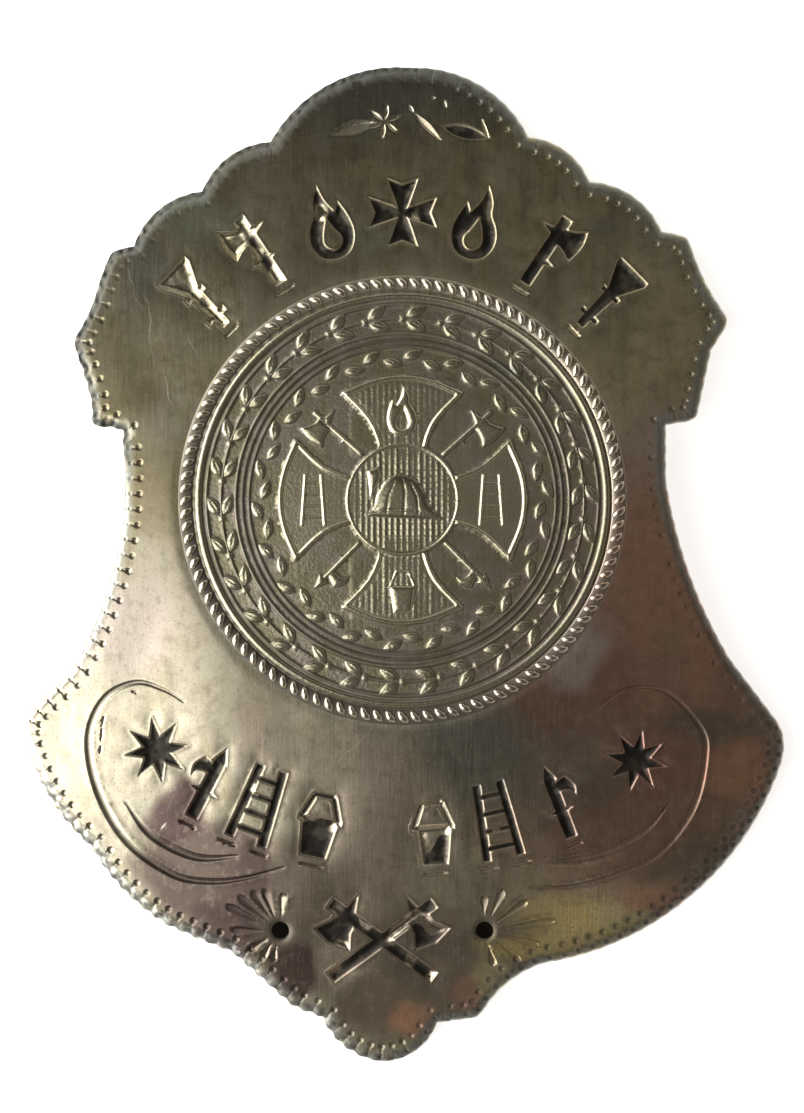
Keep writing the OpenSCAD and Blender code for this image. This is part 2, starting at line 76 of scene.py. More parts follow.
# Clockwise from the top: across and up as shares of half the width and height, and each arc's bow
outlineCorners = [
    # top lobe, two scallops and the ear at the right
    (0.02, 1, scallopBow), (0.33, 0.86, scallopBow), (0.49, 0.77, scallopBow), (0.68, 0.67, 0),
    (0.75, 0.66, hollowBow), (0.86, 0.49, 0), (0.81, 0.43, 0), (0.77, 0.29, 0),
    # waist, side tip and skirt at the right, down to the notch
    (0.69, 0.28, 0), (0.69, 0.17, hollowBow), (0.86, -0.19, 0), (0.98, -0.31, swellBow),
    (1, -0.34, swellBow), (0.995, -0.4, swellBow), (0.75, -0.67, swellBow), (0.37, -0.8, deepBow),
    # bottom lobe
    (0.2, -0.91, 0), (0.09, -0.92, scallopBow), (-0.05, -1, scallopBow), (-0.215, -0.91, 0),
    # skirt, side tip and waist at the left
    (-0.29, -0.89, 0), (-0.45, -0.78, 0), (-0.61, -0.73, swellBow), (-0.82, -0.57, swellBow),
    (-0.99, -0.37, swellBow), (-1, -0.33, swellBow), (-0.99, -0.3, 0), (-0.87, -0.21, hollowBow),
    (-0.735, 0.1, 0), (-0.73, 0.19, 0), (-0.74, 0.27, 0),
    # the ear and two scallops at the left, up to the top lobe
    (-0.82, 0.28, 0), (-0.82, 0.33, 0), (-0.87, 0.45, hollowBow), (-0.8, 0.57, 0),
    (-0.77, 0.63, 0), (-0.71, 0.64, scallopBow), (-0.53, 0.75, scallopBow), (-0.35, 0.85, scallopBow)
]
plate = {
    "thickness": 1, "rise": 3, "rollWide": 0.6, "rollDeep": 0.26, "backRound": 0.16,
    "edgeStep": 0.17, "fineStep": 0.18, "backStep": 0.9, "cornerRounds": 9, "beat": 0.03, "beatLow": 0.11,
    "wave": 0.03, "waveLength": 11, "sink": 0.045, "sinkReach": 0.6
}
plateLow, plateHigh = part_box("badge_plate")
plateWidth = (plateHigh[0] - plateLow[0]) / metre
plateHeight = (plateHigh[1] - plateLow[1]) / metre
plateHalf = np.array([plateWidth, plateHeight]) / 2


def arcPoints(a, b, bow, step):
    # from a to just before b, on an arc that bows to its left
    chord = math.dist(a, b)
    if abs(bow) < 0.015:
        steps = max(1, round(chord / step))
        return [a + (b - a) * i / steps for i in range(steps)]
    along = (b - a) / chord
    out = np.array([-along[1], along[0]])
    half = 2 * math.atan(2 * bow)
    radius = chord / (2 * math.sin(half))
    steps = max(2, round(chord / step))
    points = []
    for i in range(steps):
        turn = half * (2 * i / steps - 1)
        middle = (a + b) / 2 - out * radius * math.cos(half)
        points.append(middle + radius * (math.sin(turn) * along + math.cos(turn) * out))
    return points


def makeOutline(step):
    corners = [np.array([x * plateWidth / 2, y * plateHeight / 2]) for x, y, bow in outlineCorners]
    points = []
    for i, corner in enumerate(corners):
        points += arcPoints(corner, corners[(i + 1) % len(corners)], outlineCorners[i][2], step)
    points = np.array(points)
    low, high = points.min(0), points.max(0)
    return (points - (low + high) / 2) * np.array([plateWidth, plateHeight]) / (high - low)


def wornLine(line, rounds):
    # outer corners are worn round, and the rest stays
    line = line.copy()
    for ignored in range(rounds):
        before, after = np.roll(line, 1, 0), np.roll(line, -1, 0)
        along = after - before
        out = np.stack([-along[:, 1], along[:, 0]], 1)
        shift = (before + after) / 4 - line / 2
        line += shift * ((shift * out).sum(1) < 0)[:, None]
    return line


edgeLine = wornLine(makeOutline(plate["edgeStep"]), plate["cornerRounds"])
reach = np.linalg.norm(makeOutline(1), axis=1).max()
backRadius = (plate["rise"] ** 2 + reach ** 2) / (2 * plate["rise"])
frontRadius = backRadius + plate["thickness"]
domeBase = plate["rise"] - backRadius


def frontLevel(points):
    return domeBase + np.sqrt(frontRadius ** 2 - (points ** 2).sum(1))


def backLevel(points):
    return domeBase + np.sqrt(backRadius ** 2 - (points ** 2).sum(1))


# Plane geometry
def segmentDistance(points, starts, ends):
    # distance to the nearest segment, that segment's number and the share along it
    along = ends - starts
    square = np.maximum((along ** 2).sum(1), 1e-12)
    distance = np.empty(len(points))
    which = np.empty(len(points), int)
    share = np.empty(len(points))
    batch = max(1, 2000000 // len(starts))
    for first in range(0, len(points), batch):
        part = slice(first, first + batch)
        gap = points[part][:, None, :] - starts[None]
        t = np.clip((gap * along).sum(2) / square, 0, 1)
        away = ((gap - t[..., None] * along) ** 2).sum(2)
        nearest = away.argmin(1)
        rows = np.arange(len(nearest))
        distance[part] = np.sqrt(away[rows, nearest])
        which[part] = nearest
        share[part] = t[rows, nearest]
    return distance, which, share


def insideShape(points, shape):
    a = shape
    b = np.roll(shape, -1, 0)
    rise = np.where(b[:, 1] == a[:, 1], 1e-9, b[:, 1] - a[:, 1])
    result = np.empty(len(points), bool)
    batch = max(1, 2000000 // len(shape))
    for first in range(0, len(points), batch):
        x = points[first:first + batch, 0, None]
        y = points[first:first + batch, 1, None]
        crosses = (a[:, 1] > y) != (b[:, 1] > y)
        meet = (b[:, 0] - a[:, 0]) * (y - a[:, 1]) / rise + a[:, 0]
        result[first:first + batch] = (crosses & (x < meet)).sum(1) % 2 == 1
    return result


def shapeDistance(points, shape):
    # negative inside the shape
    distance = segmentDistance(points, shape, np.roll(shape, -1, 0))[0]
    return np.where(insideShape(points, shape), -distance, distance)


def turned(points, degrees):
    a = math.radians(degrees)
    x, y = points[:, 0], points[:, 1]
    return np.stack([x * math.cos(a) - y * math.sin(a), x * math.sin(a) + y * math.cos(a)], 1)


def barShape(a, b, width):
    a = np.array(a, float)
    b = np.array(b, float)
    along = (b - a) / math.dist(a, b)
    side = np.array([-along[1], along[0]]) * width / 2
    return np.array([a + side, a - side, b - side, b + side])


def softStep(value, low, high):
    t = np.clip((value - low) / (high - low), 0, 1)
    return t * t * (3 - 2 * t)


def softNoise(points, scale, seed, waves=9):
    # a smooth uneven field between about -1 and 1
    dice = np.random.default_rng(seed)
    total = np.zeros(len(points))
    for wave in range(waves):
        angle = dice.uniform(0, 2 * math.pi)
        length = scale * dice.uniform(0.6, 1.6)
        phase = dice.uniform(0, 2 * math.pi)
        direction = np.array([math.cos(angle), math.sin(angle)]) * 2 * math.pi / length
        total += np.sin(points @ direction + phase)
    return total / math.sqrt(waves) / 1.3


# Outlines of the punched tools, as shares of a mark's height
axeBlade = [(0, 0.14), (0.15, 0.12), (0.3, 0.02), (0.37, 0.26), (0.33, 0.48), (0.15, 0.38), (0, 0.38)]
axePick = [(0, 0.18), (0, 0.34), (-0.25, 0.3)]
flameBody = [
    (0, -0.5), (0.2, -0.44), (0.3, -0.24), (0.26, -0.02), (0.14, 0.14), (0.14, 0.3), (0.02, 0.5),
    (-0.02, 0.28), (-0.12, 0.12), (-0.19, 0.24), (-0.28, 0.02), (-0.31, -0.22), (-0.2, -0.44)
]
flameHeart = [
    (0, -0.38), (0.12, -0.28), (0.1, -0.14), (0.01, 0.06), (-0.05, -0.1), (-0.13, -0.22), (-0.1, -0.32)
]
crossQuarter = [(0.04, -0.02), (0.2, 0.44), (0, 0.36), (-0.2, 0.44), (-0.04, -0.02)]
trumpetBody = [
    (-0.06, -0.5), (0.06, -0.5), (0.09, 0.1), (0.25, 0.42), (0.25, 0.5),
    (-0.25, 0.5), (-0.25, 0.42), (-0.09, 0.1)
]
hookTip = [(-0.1, 0.28), (0, 0.5), (0.1, 0.28)]
hookClaw = [(0, 0.22), (0.2, 0.28), (0.3, 0.12), (0.25, -0.02), (0.2, 0.1), (0, 0.1)]
bucketBody = [(-0.24, 0.06), (0.24, 0.06), (0.17, -0.46), (-0.17, -0.46)]


strokeShares = {"heavy": 0.88, "middling": 0.62, "fine": 0.42}


def starShape(radius, points, waist):
    turns = np.radians(90 + np.arange(2 * points) * 180 / points)
    far = np.where(np.arange(2 * points) % 2 == 0, radius, radius * waist)
    return np.stack([far * np.cos(turns), far * np.sin(turns)], 1)


def sparkShape(across, up, long, wide):
    return np.array([(across - long / 2, up), (across, up - wide / 2),
                     (across + long / 2, up), (across, up + wide / 2)])


def softened(points, rounds=2):
    # blunt corners are cut, and sharp points stay
    shape = np.array(points, float)
    for ignored in range(rounds):
        before, after = np.roll(shape, 1, 0), np.roll(shape, -1, 0)
        come, go = shape - before, after - shape
        turn = np.degrees(np.arccos(np.clip((come * go).sum(1) / np.maximum(
            np.linalg.norm(come, axis=1) * np.linalg.norm(go, axis=1), 1e-12), -1, 1)))
        smoother = []
        for i, corner in enumerate(shape):
            if turn[i] > 72 or turn[i] < 2:
                smoother.append(corner)
            else:
                smoother += [corner - come[i] * 0.25, corner + go[i] * 0.25]
        shape = np.array(smoother)
    return shape


def toolShapes(kind, height, stroke):
    # solid shapes and the shapes left out of them, round the mark's middle
    def shape(points):
        return np.array(points, float) * height

    def bar(x0, y0, x1, y1, share):
        return barShape((x0 * height, y0 * height), (x1 * height, y1 * height), strokeShares[share] * stroke)

    tick = sparkShape(0, -0.13 * height, stroke * 1.9, stroke * strokeShares["middling"])
    if kind == "axe":
        return [bar(-0.05, -0.5, 0.01, 0.5, "heavy"), softened(shape(axeBlade), 1), shape(axePick), tick], []
    if kind == "ladder":
        rails = [bar(-0.22, -0.5, -0.15, 0.5, "middling"), bar(0.22, -0.5, 0.15, 0.5, "middling")]
        return rails + [bar(-0.19, up, 0.19, up, "fine") for up in (-0.34, -0.12, 0.1, 0.32)], []
    if kind == "flame":
        return [softened(shape(flameBody))], [softened(shape(flameHeart))]
    if kind == "cross":
        return [turned(shape(crossQuarter), a) for a in (0, 90, 180, 270)], []
    if kind == "trumpet":
        bands = [bar(-0.15, -0.32, 0.15, -0.32, "fine"), bar(-0.15, 0.06, 0.15, 0.06, "fine")]
        return [shape(trumpetBody)] + bands, []
    if kind == "hook":
        return [bar(0, -0.5, 0, 0.32, "heavy"), shape(hookTip), softened(shape(hookClaw)), tick], []
    if kind == "bucket":
        handle = [bar(-0.24, 0.03, -0.12, 0.34, "fine"), bar(0.24, 0.03, 0.12, 0.34, "fine"),
                  bar(-0.14, 0.34, 0.14, 0.34, "fine")]
        return [shape(bucketBody), bar(-0.28, 0.03, 0.28, 0.03, "fine")] + handle, []
    return [starShape(0.42 * height, 8, 0.45)], []


class Feature:
    # one mark: its solid shapes, those left out of them, and the box round them
    def __init__(self, solid, left=(), black=0.7):
        self.black = black
        self.solid = solid
        self.left = list(left)
        everything = np.concatenate(solid)
        self.low = everything.min(0)
        self.high = everything.max(0)
        self.middle = (self.low + self.high) / 2

    def near(self, points, margin):
        return ((points > self.low - margin) & (points < self.high + margin)).all(1)

    def distance(self, points):
        found = np.min([shapeDistance(points, s) for s in self.solid], axis=0)
        for s in self.left:
            found = np.maximum(found, -shapeDistance(points, s))
        return found

    def rows(self, offsets, step):
        # points that follow the mark's outline at each distance from it
        points = []
        levels = []
        for s in self.solid + self.left:
            area = (s[:, 0] * np.roll(s[:, 1], -1) - np.roll(s[:, 0], -1) * s[:, 1]).sum()
            side = 1 if (area > 0) == any(s is solid for solid in self.solid) else -1
            for i in range(len(s)):
                a = s[i]
                b = s[(i + 1) % len(s)]
                length = math.dist(a, b)
                if length < 1e-6:
                    continue
                along = (b - a) / length
                out = np.array([along[1], -along[0]]) * side
                count = max(1, round(length / step))
                for offset in offsets:
                    for j in range(count + 1):
                        points.append(a + (b - a) * j / count + out * offset)
                        levels.append(offset)
                    if offset > 0:
                        turn = s[i] - (s[i - 1] + b) / 2
                        size = math.hypot(*turn)
                        if size > 1e-6:
                            points.append(a + turn / size * offset)
                            levels.append(offset)
        points = np.array(points)
        levels = np.array(levels)
        return points[np.abs(self.distance(points) - levels) < 0.012]


# The struck seal's layout
seal = {
    "across": -0.1, "up": 4.1, "ropeRadius": 13.8, "ropeWidth": 0.85, "strands": 108,
    "mouldingWidth": 0.5, "gap": 0.16, "bandWidth": 1.85, "rimWidth": 0.85, "line": 0.22,
    "ground": 0.08, "low": 0.13, "high": 0.21, "rimRadius": 13.33, "bedInner": 13.28, "bedOuter": 14.27
}
sealMiddle = np.array([seal["across"], seal["up"]])
mouldingRadius = seal["ropeRadius"] - seal["ropeWidth"] / 2 - seal["gap"] - seal["mouldingWidth"] / 2
bandOuter = mouldingRadius - seal["mouldingWidth"] / 2 - seal["gap"] - seal["line"] / 2
bandInner = bandOuter - seal["bandWidth"]
fieldRadius = bandInner - seal["rimWidth"]

# Punched marks
marks = {
    "height": 5, "stroke": 0.95, "depth": 0.27, "wall": 0.36, "lip": 0.014,
    "upperGap": 1.55, "upperPitch": 15.1, "lowerRadius": 26.7, "lowerUp": -16.9,
    "axesLength": 8.2, "axesDrop": 0.6, "axesSlant": 54, "axesHead": 0.72, "axesLift": 0.14
}
# Each mark with the share of its floor that is black, at the left and at the right
upperMarks = [("cross", 0.9, 0.9), ("flame", 1, 1), ("axe", 0.45, 1), ("trumpet", 0.3, 1)]
lowerMarks = [
    ("star", -36, 1), ("hook", -27.6, 0.8), ("ladder", -20.2, 1), ("bucket", -11.6, 0.75),
    ("bucket", 3.9, 0.55), ("ladder", 12.6, 0.95), ("hook", 21.4, 0.85), ("star", 33.5, 1)
]
holes = {"diameter": 1.14, "pitch": 13, "across": -1.4, "up": -23.3}
holeMiddles = [np.array([holes["across"] + side * holes["pitch"] / 2, holes["up"]]) for side in (-1, 1)]


def mirrored(points, side):
    return points * np.array([side, 1])


# Small ticks under the feet of some marks: across, down and length as shares of the mark's height
feet = {
    "axe": [(-0.05, -0.6, 0.2)], "hook": [(0, -0.6, 0.18)],
    "ladder": [(-0.22, -0.59, 0.16), (0.22, -0.59, 0.16)],
    "trumpet": [(0, -0.6, 0.16)], "bucket": [(0, -0.56, 0.24)]
}
footTicks = []


def addMark(found, kind, place, black):
    # one mark, and the ticks under its foot
    solid, left = toolShapes(kind, marks["height"], marks["stroke"])
    found.append(Feature([place(s) for s in solid], [place(s) for s in left], black))
    for x, y, long in feet.get(kind, []):
        footTicks.append(place(np.array([(x - long / 2, y), (x + long / 2, y)]) * marks["height"]))


def punchedMarks():
    found = []
    upperRadius = seal["ropeRadius"] + seal["ropeWidth"] / 2 + marks["upperGap"] + marks["height"] / 2
    for i, (kind, blackLeft, blackRight) in enumerate(upperMarks):
        for side in ([1] if i == 0 else [-1, 1]):
            def place(s):
                return mirrored(turned(s + (0, upperRadius), -i * marks["upperPitch"]), side) + sealMiddle
            addMark(found, kind, place, blackLeft if side < 0 else blackRight)
    for kind, angle, black in lowerMarks:
        side = -1 if angle < 0 else 1

        def place(s):
            return turned(mirrored(s, side) - (0, marks["lowerRadius"]), angle) \
                + (0, marks["lowerUp"] + marks["lowerRadius"])
        addMark(found, kind, place, black)
    long = marks["axesLength"]
    shaft = barShape((0, -long / 2), (0, long / 2), marks["stroke"] * strokeShares["heavy"])
    blade = np.array(axeBlade) * long * marks["axesHead"] + (0, long * marks["axesLift"])
    pick = np.array(axePick) * long * marks["axesHead"] + (0, long * marks["axesLift"])
    middle = np.array([holes["across"], holes["up"] - marks["axesDrop"]])
    found.append(Feature([
        mirrored(turned(s, -marks["axesSlant"]), side) + middle
        for side in (-1, 1) for s in (shaft, blade, pick)
    ]))
    return found


# Cut lines: scrolls, rays beside the holes, and the spray under the top scallop
cuts = {
    "scrollWidth": 0.5, "scrollEnd": 0.4, "scrollDepth": 0.075, "rayDepth": 0.13, "leafDepth": 0.14,
    "rayStart": 0.95, "rayHalf": 0.22, "rayWide": 0.82
}
scrolls = [
    [(-0.579, -0.273), (-0.627, -0.251), (-0.703, -0.236), (-0.785, -0.268), (-0.827, -0.346),
     (-0.803, -0.453), (-0.727, -0.554), (-0.609, -0.620),
     (-0.515, -0.635), (-0.415, -0.628), (-0.317, -0.607)],
    [(-0.729, -0.477), (-0.663, -0.542), (-0.547, -0.586), (-0.441, -0.584)],
    [(0.510, -0.286), (0.584, -0.249), (0.686, -0.255), (0.779, -0.328), (0.790, -0.393),
     (0.756, -0.494), (0.663, -0.584), (0.544, -0.625), (0.436, -0.645), (0.328, -0.647)],
    [(0.692, -0.482), (0.639, -0.530), (0.560, -0.566), (0.483, -0.586), (0.378, -0.596)]
]
scrollStrengths = [1, 1, 0.5, 0.6]
# Angle and reach in hole diameters
leftRays = [
    (84, 2.0), (110, 2.4), (125, 2.7), (140, 3.0), (155, 3.3), (180, 2.7), (212, 2.0), (236, 1.8), (256, 1.7)
]
rightRays = [(90, 1.9), (65, 2.5), (35, 2.9), (8, 4.0), (-15, 3.2), (-40, 2.6), (-75, 2.0)]
# The side that each ray's deep line lies on, which says how much light the ray takes
rayLeans = [[0.85, 0.6, -0.3, -0.5, -0.5, -0.4, 0.4, 0.6, 0.6], [0.5, 0.3, -0.3, -0.4, 0.5, 0.5, 0.6]]
rayStrengths = [
    [1.3, 0.75, 0.32, 0.28, 0.25, 0.28, 0.65, 0.75, 0.8], [0.5, 0.5, 0.45, 0.36, 0.36, 0.45, 0.6]
]
# Across, up, angle, length and half width in bold strokes, then lean and dirt
sprayUp = 0.885
sprayLeaves = [
    (-1.9, 0, 104, 3.2, 0.46, -0.6, 0.55), (2.6, -0.25, -104, 3.2, 0.5, 0.2, 2.4),
    (0.8, 0.6, -136, 2.4, 0.2, -0.6, 0.1)
]
petals = {"turns": (20, 80, 140, 200, 260, 320), "strengths": (0.4, 1.2, 0.45, 0.35, 1.2, 0.5)}
# Short single cuts: across and up of both ends in millimetres, and half width
ticks = [
    ((-19.05, -9.7), (-19.2, -10.25), 0.08), ((-19.2, -10.5), (-19.25, -11.1), 0.1),
    ((-19.25, -11.6), (-19.3, -11.95), 0.06),
    ((4.95, 28.3), (5.35, 27.2), 0.11), ((0.3, 29.25), (0.55, 28.85), 0.12),
    ((2.55, 29.5), (2.65, 29.15), 0.08),
    ((1.75, 29.75), (1.95, 29.7), 0.1), ((-17.25, -8.1), (-17.1, -8.1), 0.08)
]


def smoothLine(points, steps):
    points = np.array(points, float)
    last = len(points) - 1
    line = []
    for i in range(last):
        a, b, c, d = points[max(i - 1, 0)], points[i], points[i + 1], points[min(i + 2, last)]
        for j in range(steps):
            t = j / steps
            line.append((2 * b + (c - a) * t + (2 * a - 5 * b + 4 * c - d) * t * t
                         + (3 * b - a - 3 * c + d) * t ** 3) / 2)
    return np.array(line + [points[last]])


def evenLine(points, step):
    # the same line with its points a step apart
    run = np.concatenate([[0], np.cumsum(np.linalg.norm(np.diff(points, axis=0), axis=1))])
    at = np.linspace(0, run[-1], max(3, round(run[-1] / step)))
    return np.column_stack([np.interp(at, run, points[:, axis]) for axis in (0, 1)])


class Cut:
    # a groove along a line, with its own half width at each point
    def __init__(self, line, half, depth, sharp=True, lean=0.0, dirtAndShade=0.0, fade=False):
        self.lean = lean
        self.dirtAndShade = dirtAndShade
        self.fade = fade
        self.line = line
        self.half = half
        self.depth = depth
        self.sharp = sharp
        self.low = line.min(0) - half.max()
        self.high = line.max(0) + half.max()

    def near(self, points, margin):
        return ((points > self.low - margin) & (points < self.high + margin)).all(1)

    def position(self, points):
        # distance to the line, positive on its left, and the half width there
        distance, which, share = segmentDistance(points, self.line[:-1], self.line[1:])
        half = self.half[which] * (1 - share) + self.half[which + 1] * share
        along = self.line[which + 1] - self.line[which]
        gap = points - self.line[which]
        side = np.where(along[:, 0] * gap[:, 1] > along[:, 1] * gap[:, 0], 1, -1)
        run = (which + share) / (len(self.line) - 1)
        return distance * side, np.maximum(half, 0.02), np.sin(np.pi * np.clip(run, 0.03, 0.97)) ** 0.6

    def rows(self):
        along = np.gradient(self.line, axis=0)
        along /= np.linalg.norm(along, axis=1)[:, None]
        side = np.stack([-along[:, 1], along[:, 0]], 1)
        points = [self.line]
        for share in (0.32, 0.65, 1, 1.35):
            for way in (-1, 1):
                points.append(self.line + side * (self.half * share * way)[:, None])
        return np.concatenate(points)


def lineCuts():
    found = []
    for line, strength in zip(scrolls, scrollStrengths):
        points = evenLine(smoothLine(np.array(line) * plateHalf, 14), 0.14)
        share = np.linspace(0, 1, len(points))
        swelling = cuts["scrollEnd"] + (1 - cuts["scrollEnd"]) * np.sin(np.pi * share)
        width = cuts["scrollWidth"] / 2 * swelling
        found.append(Cut(points, width * (0.5 + strength / 2), cuts["scrollDepth"] * strength, sharp=False,
                         dirtAndShade=0.35, fade=True))
    for middle, rays, leans, strengths in zip(holeMiddles, (leftRays, rightRays), rayLeans, rayStrengths):
        for (angle, far), lean, strength in zip(rays, leans, strengths):
            share = np.linspace(0, 1, round((far - cuts["rayStart"]) * holes["diameter"] / 0.1))
            a = math.radians(angle)
            out = cuts["rayStart"] + (far - cuts["rayStart"]) * share
            points = middle + out[:, None] * holes["diameter"] * np.array([math.cos(a), math.sin(a)])
            wide = cuts["rayWide"]
            blunt = np.sqrt(np.clip(1 - ((share - wide) / (1 - wide)) ** 2, 0, 1))
            grow = np.where(share < wide, share / wide, blunt)
            width = holes["diameter"] * cuts["rayHalf"] * (0.15 + 0.85 * grow)
            found.append(Cut(points, width, cuts["rayDepth"] * strength, lean=lean,
                             dirtAndShade=0.45 * (strength < 1.2)))
    base = np.array([0, sprayUp * plateHeight / 2])
    stroke = marks["stroke"]
    for across, up, angle, length, half, lean, dirtAndShade in sprayLeaves:
        share = np.linspace(0, 1, 18)
        a = math.radians(angle + 90)
        points = base + np.array([across, up]) * stroke \
            + share[:, None] * length * stroke * np.array([math.cos(a), math.sin(a)])
        width = half * stroke * (0.1 + 0.9 * np.sin(np.pi * share ** 0.9))
        found.append(Cut(points, width, cuts["leafDepth"], lean=lean, dirtAndShade=dirtAndShade))
    for start, end, half in ticks:
        points = evenLine(np.array([start, end], float), 0.12)
        width = half * (0.4 + 0.6 * np.sin(np.pi * np.linspace(0, 1, len(points))))
        found.append(Cut(points, width, 0.09, lean=0.5, dirtAndShade=0.2))
    for mark in footTicks:
        found.append(Cut(evenLine(mark, 0.12), np.full(len(evenLine(mark, 0.12)), 0.1), 0.1, dirtAndShade=0.3))
    for degrees, strength in zip(petals["turns"], petals["strengths"]):
        a = math.radians(degrees)
        share = np.linspace(0, 1, 8)
        points = base + np.array([-1.3, 0.1]) * stroke \
            + (0.2 + 0.9 * share)[:, None] * stroke * np.array([math.cos(a), math.sin(a)])
        width = 0.14 * stroke * (0.25 + 0.75 * np.sin(np.pi * share))
        found.append(Cut(points, width, cuts["rayDepth"] * strength, lean=0.4))
    return found


# The punched border
border = {
    "pitch": 0.95, "corner": 0.86, "innerIn": 0.98, "innerRadius": 0.2, "innerDepth": 0.1,
    "outerIn": 0.36, "outerRadius": 0.15, "outerDepth": 0.08, "lineHalf": 0.09, "lineDepth": 0.045,
    "lumpWide": 0.72, "lumpDrop": 0.16, "notch": 0.08
}


def borderFrames():
    # place, outward direction and side direction of each border mark
    run = np.concatenate([[0], np.cumsum(np.linalg.norm(np.roll(edgeLine, -1, 0) - edgeLine, axis=1))])
    whole = run[-1]
    closed = np.concatenate([edgeLine, edgeLine[:1]])

    def at(distance):
        distance = distance % whole
        return np.array([np.interp(distance, run, closed[:, axis]) for axis in (0, 1)])

    count = round(whole / border["pitch"])
    window = 1.15
    found = []
    for i in range(count):
        place = (i + 0.5) * whole / count
        here, ahead, behind = at(place), at(place + window), at(place - window)
        chord = math.dist(ahead, behind)
        along = (ahead - behind) / chord
        out = np.array([-along[1], along[0]])
        if chord > 2 * window * border["corner"] or (here - (ahead + behind) / 2) @ out < 0:
            found.append((here, out, along))
    return found


def lowerLeft(out):
    # how far an outward direction looks to the lower left, where the edge is beaten most
    return softStep(-(out @ np.array([0.72, 0.69])), 0.8, 0.96)


def beatenLine(line, frames):
    # each border mark dents the edge a little
    line = line.copy()
    for here, out, along in frames:
        gap = np.linalg.norm(line - here, axis=1) / border["pitch"]
        dent = np.cos(np.clip(gap, 0, 0.5) * math.pi) ** 2
        line -= out * (dent * (plate["beat"] + plate["beatLow"] * float(lowerLeft(out))))[:, None]
    return line


def borderTemplate():
    points = []
    dots = ((border["innerIn"], border["innerRadius"]), (border["outerIn"], border["outerRadius"]))
    for inward, radius in dots:
        points.append((-inward, 0))
        for share, count in ((0.5, 6), (1, 10), (1.4, 10)):
            for k in range(count):
                a = 2 * math.pi * (k + 0.5) / count
                points.append((-inward + radius * share * math.cos(a), radius * share * math.sin(a)))
    for inward in (0.04, 0.12, 0.56, 0.64, 0.72):
        for side in (-0.15, -0.08, 0, 0.08, 0.15):
            points.append((-inward, side))
    return np.array(points)


def borderDepth(points, frames):
    # how deep the border marks go at each point, and how much dirt they hold
    depth = np.zeros(len(points))
    dirtAndShade = np.zeros(len(points))
    for number, (here, out, along) in enumerate(frames):
        middle = here - out * 0.6
        close = np.flatnonzero((np.abs(points - middle) < 1.2).all(1))
        if len(close) == 0:
            continue
        gap = points[close] - here
        inward = -(gap @ out)
        side = gap @ along
        strength = 0.85 + 0.3 * math.sin(number * 2.7)
        strength *= 1 - 0.68 * float(softStep(here @ (0.7, 0.7), -6, 2))
        dark = float(softStep(-here[1], 4, 12) * softStep(here[0], -3, 6))
        worn = 1 - 0.6 * float(softStep(here[1], 9, 16) * softStep(-here[0], -3, 3))
        strength *= (1 - 0.5 * dark) * worn
        specks = 0.55 * float(softStep(here[1], 7, 12) * softStep(here[0], 2, 6))
        inner = np.hypot(inward - border["innerIn"], side)
        outer = np.hypot(inward - border["outerIn"], side)
        radius = border["innerRadius"]
        dot = border["innerDepth"] * (1 - softStep(inner, 0.2 * radius, radius))
        deep = np.maximum(dot, border["outerDepth"]
                          * (1 - softStep(outer, 0.1 * border["outerRadius"], border["outerRadius"])))
        onLine = (1 - softStep(np.abs(side), 0.01, border["lineHalf"])) * softStep(-inward, -1.0, -0.9)
        deep = np.maximum(deep, border["lineDepth"] * onLine * (1 - dark)) * strength + dot * specks
        held = softStep(deep, 0.02, 0.075) * (0.35 + 0.65 * float(softStep(here[0], -20, -14)))
        dots = np.minimum(inner / border["innerRadius"], outer / border["outerRadius"])
        dots = 1 - softStep(dots, 0.6 + 0.4 * dark, 1.1 + 0.6 * dark)
        dirtAndShade[close] = np.maximum(dirtAndShade[close], np.maximum(held, dark * dots))
        # at the lower left the edge is beaten into lumps between the marks
        lumpy = float(lowerLeft(out)) * (1 - 0.85 * float(softStep(here[0], -12, -8)))
        if lumpy > 0:
            fall = softStep(-inward, -border["lumpWide"], 0.1)
            mine = np.abs(side) < border["pitch"] * 0.6
            bulge = np.cos(np.clip(side / border["pitch"], -0.5, 0.5) * math.pi) ** 2
            lump = border["lumpDrop"] * fall + border["notch"] * np.minimum(1, fall * 3) * bulge ** 3
            deep = np.maximum(deep, lump * lumpy * mine)
        depth[close] = np.maximum(depth[close], deep)
    return depth, dirtAndShade


# Meshes
def thinOut(points, spacing):
    # drops points that crowd an earlier one
    cell = np.round(points / spacing).astype(int)
    first = np.unique(cell, axis=0, return_index=True)[1]
    return points[np.sort(first)]


def latticePoints(low, high, step):
    # staggered rows, and which of their points a lattice of twice the step keeps
    rows = int((high[1] - low[1]) / (step * math.sqrt(3) / 2)) + 2
    columns = int((high[0] - low[0]) / step) + 2
    j, i = np.meshgrid(np.arange(rows), np.arange(columns), indexing="ij")
    x = low[0] + (i + 0.5 * (j % 2)) * step
    y = low[1] + j * step * math.sqrt(3) / 2
    coarse = (j % 2 == 0) & ((i + (j // 2) % 2) % 2 == 0)
    return np.stack([x.ravel(), y.ravel()], 1), coarse.ravel()


def farFrom(points, others, spacing):
    tree = KDTree(len(others))
    for i, (x, y) in enumerate(others):
        tree.insert((x, y, 0), i)
    tree.balance()
    return np.array([tree.find((x, y, 0))[2] > spacing for x, y in points])


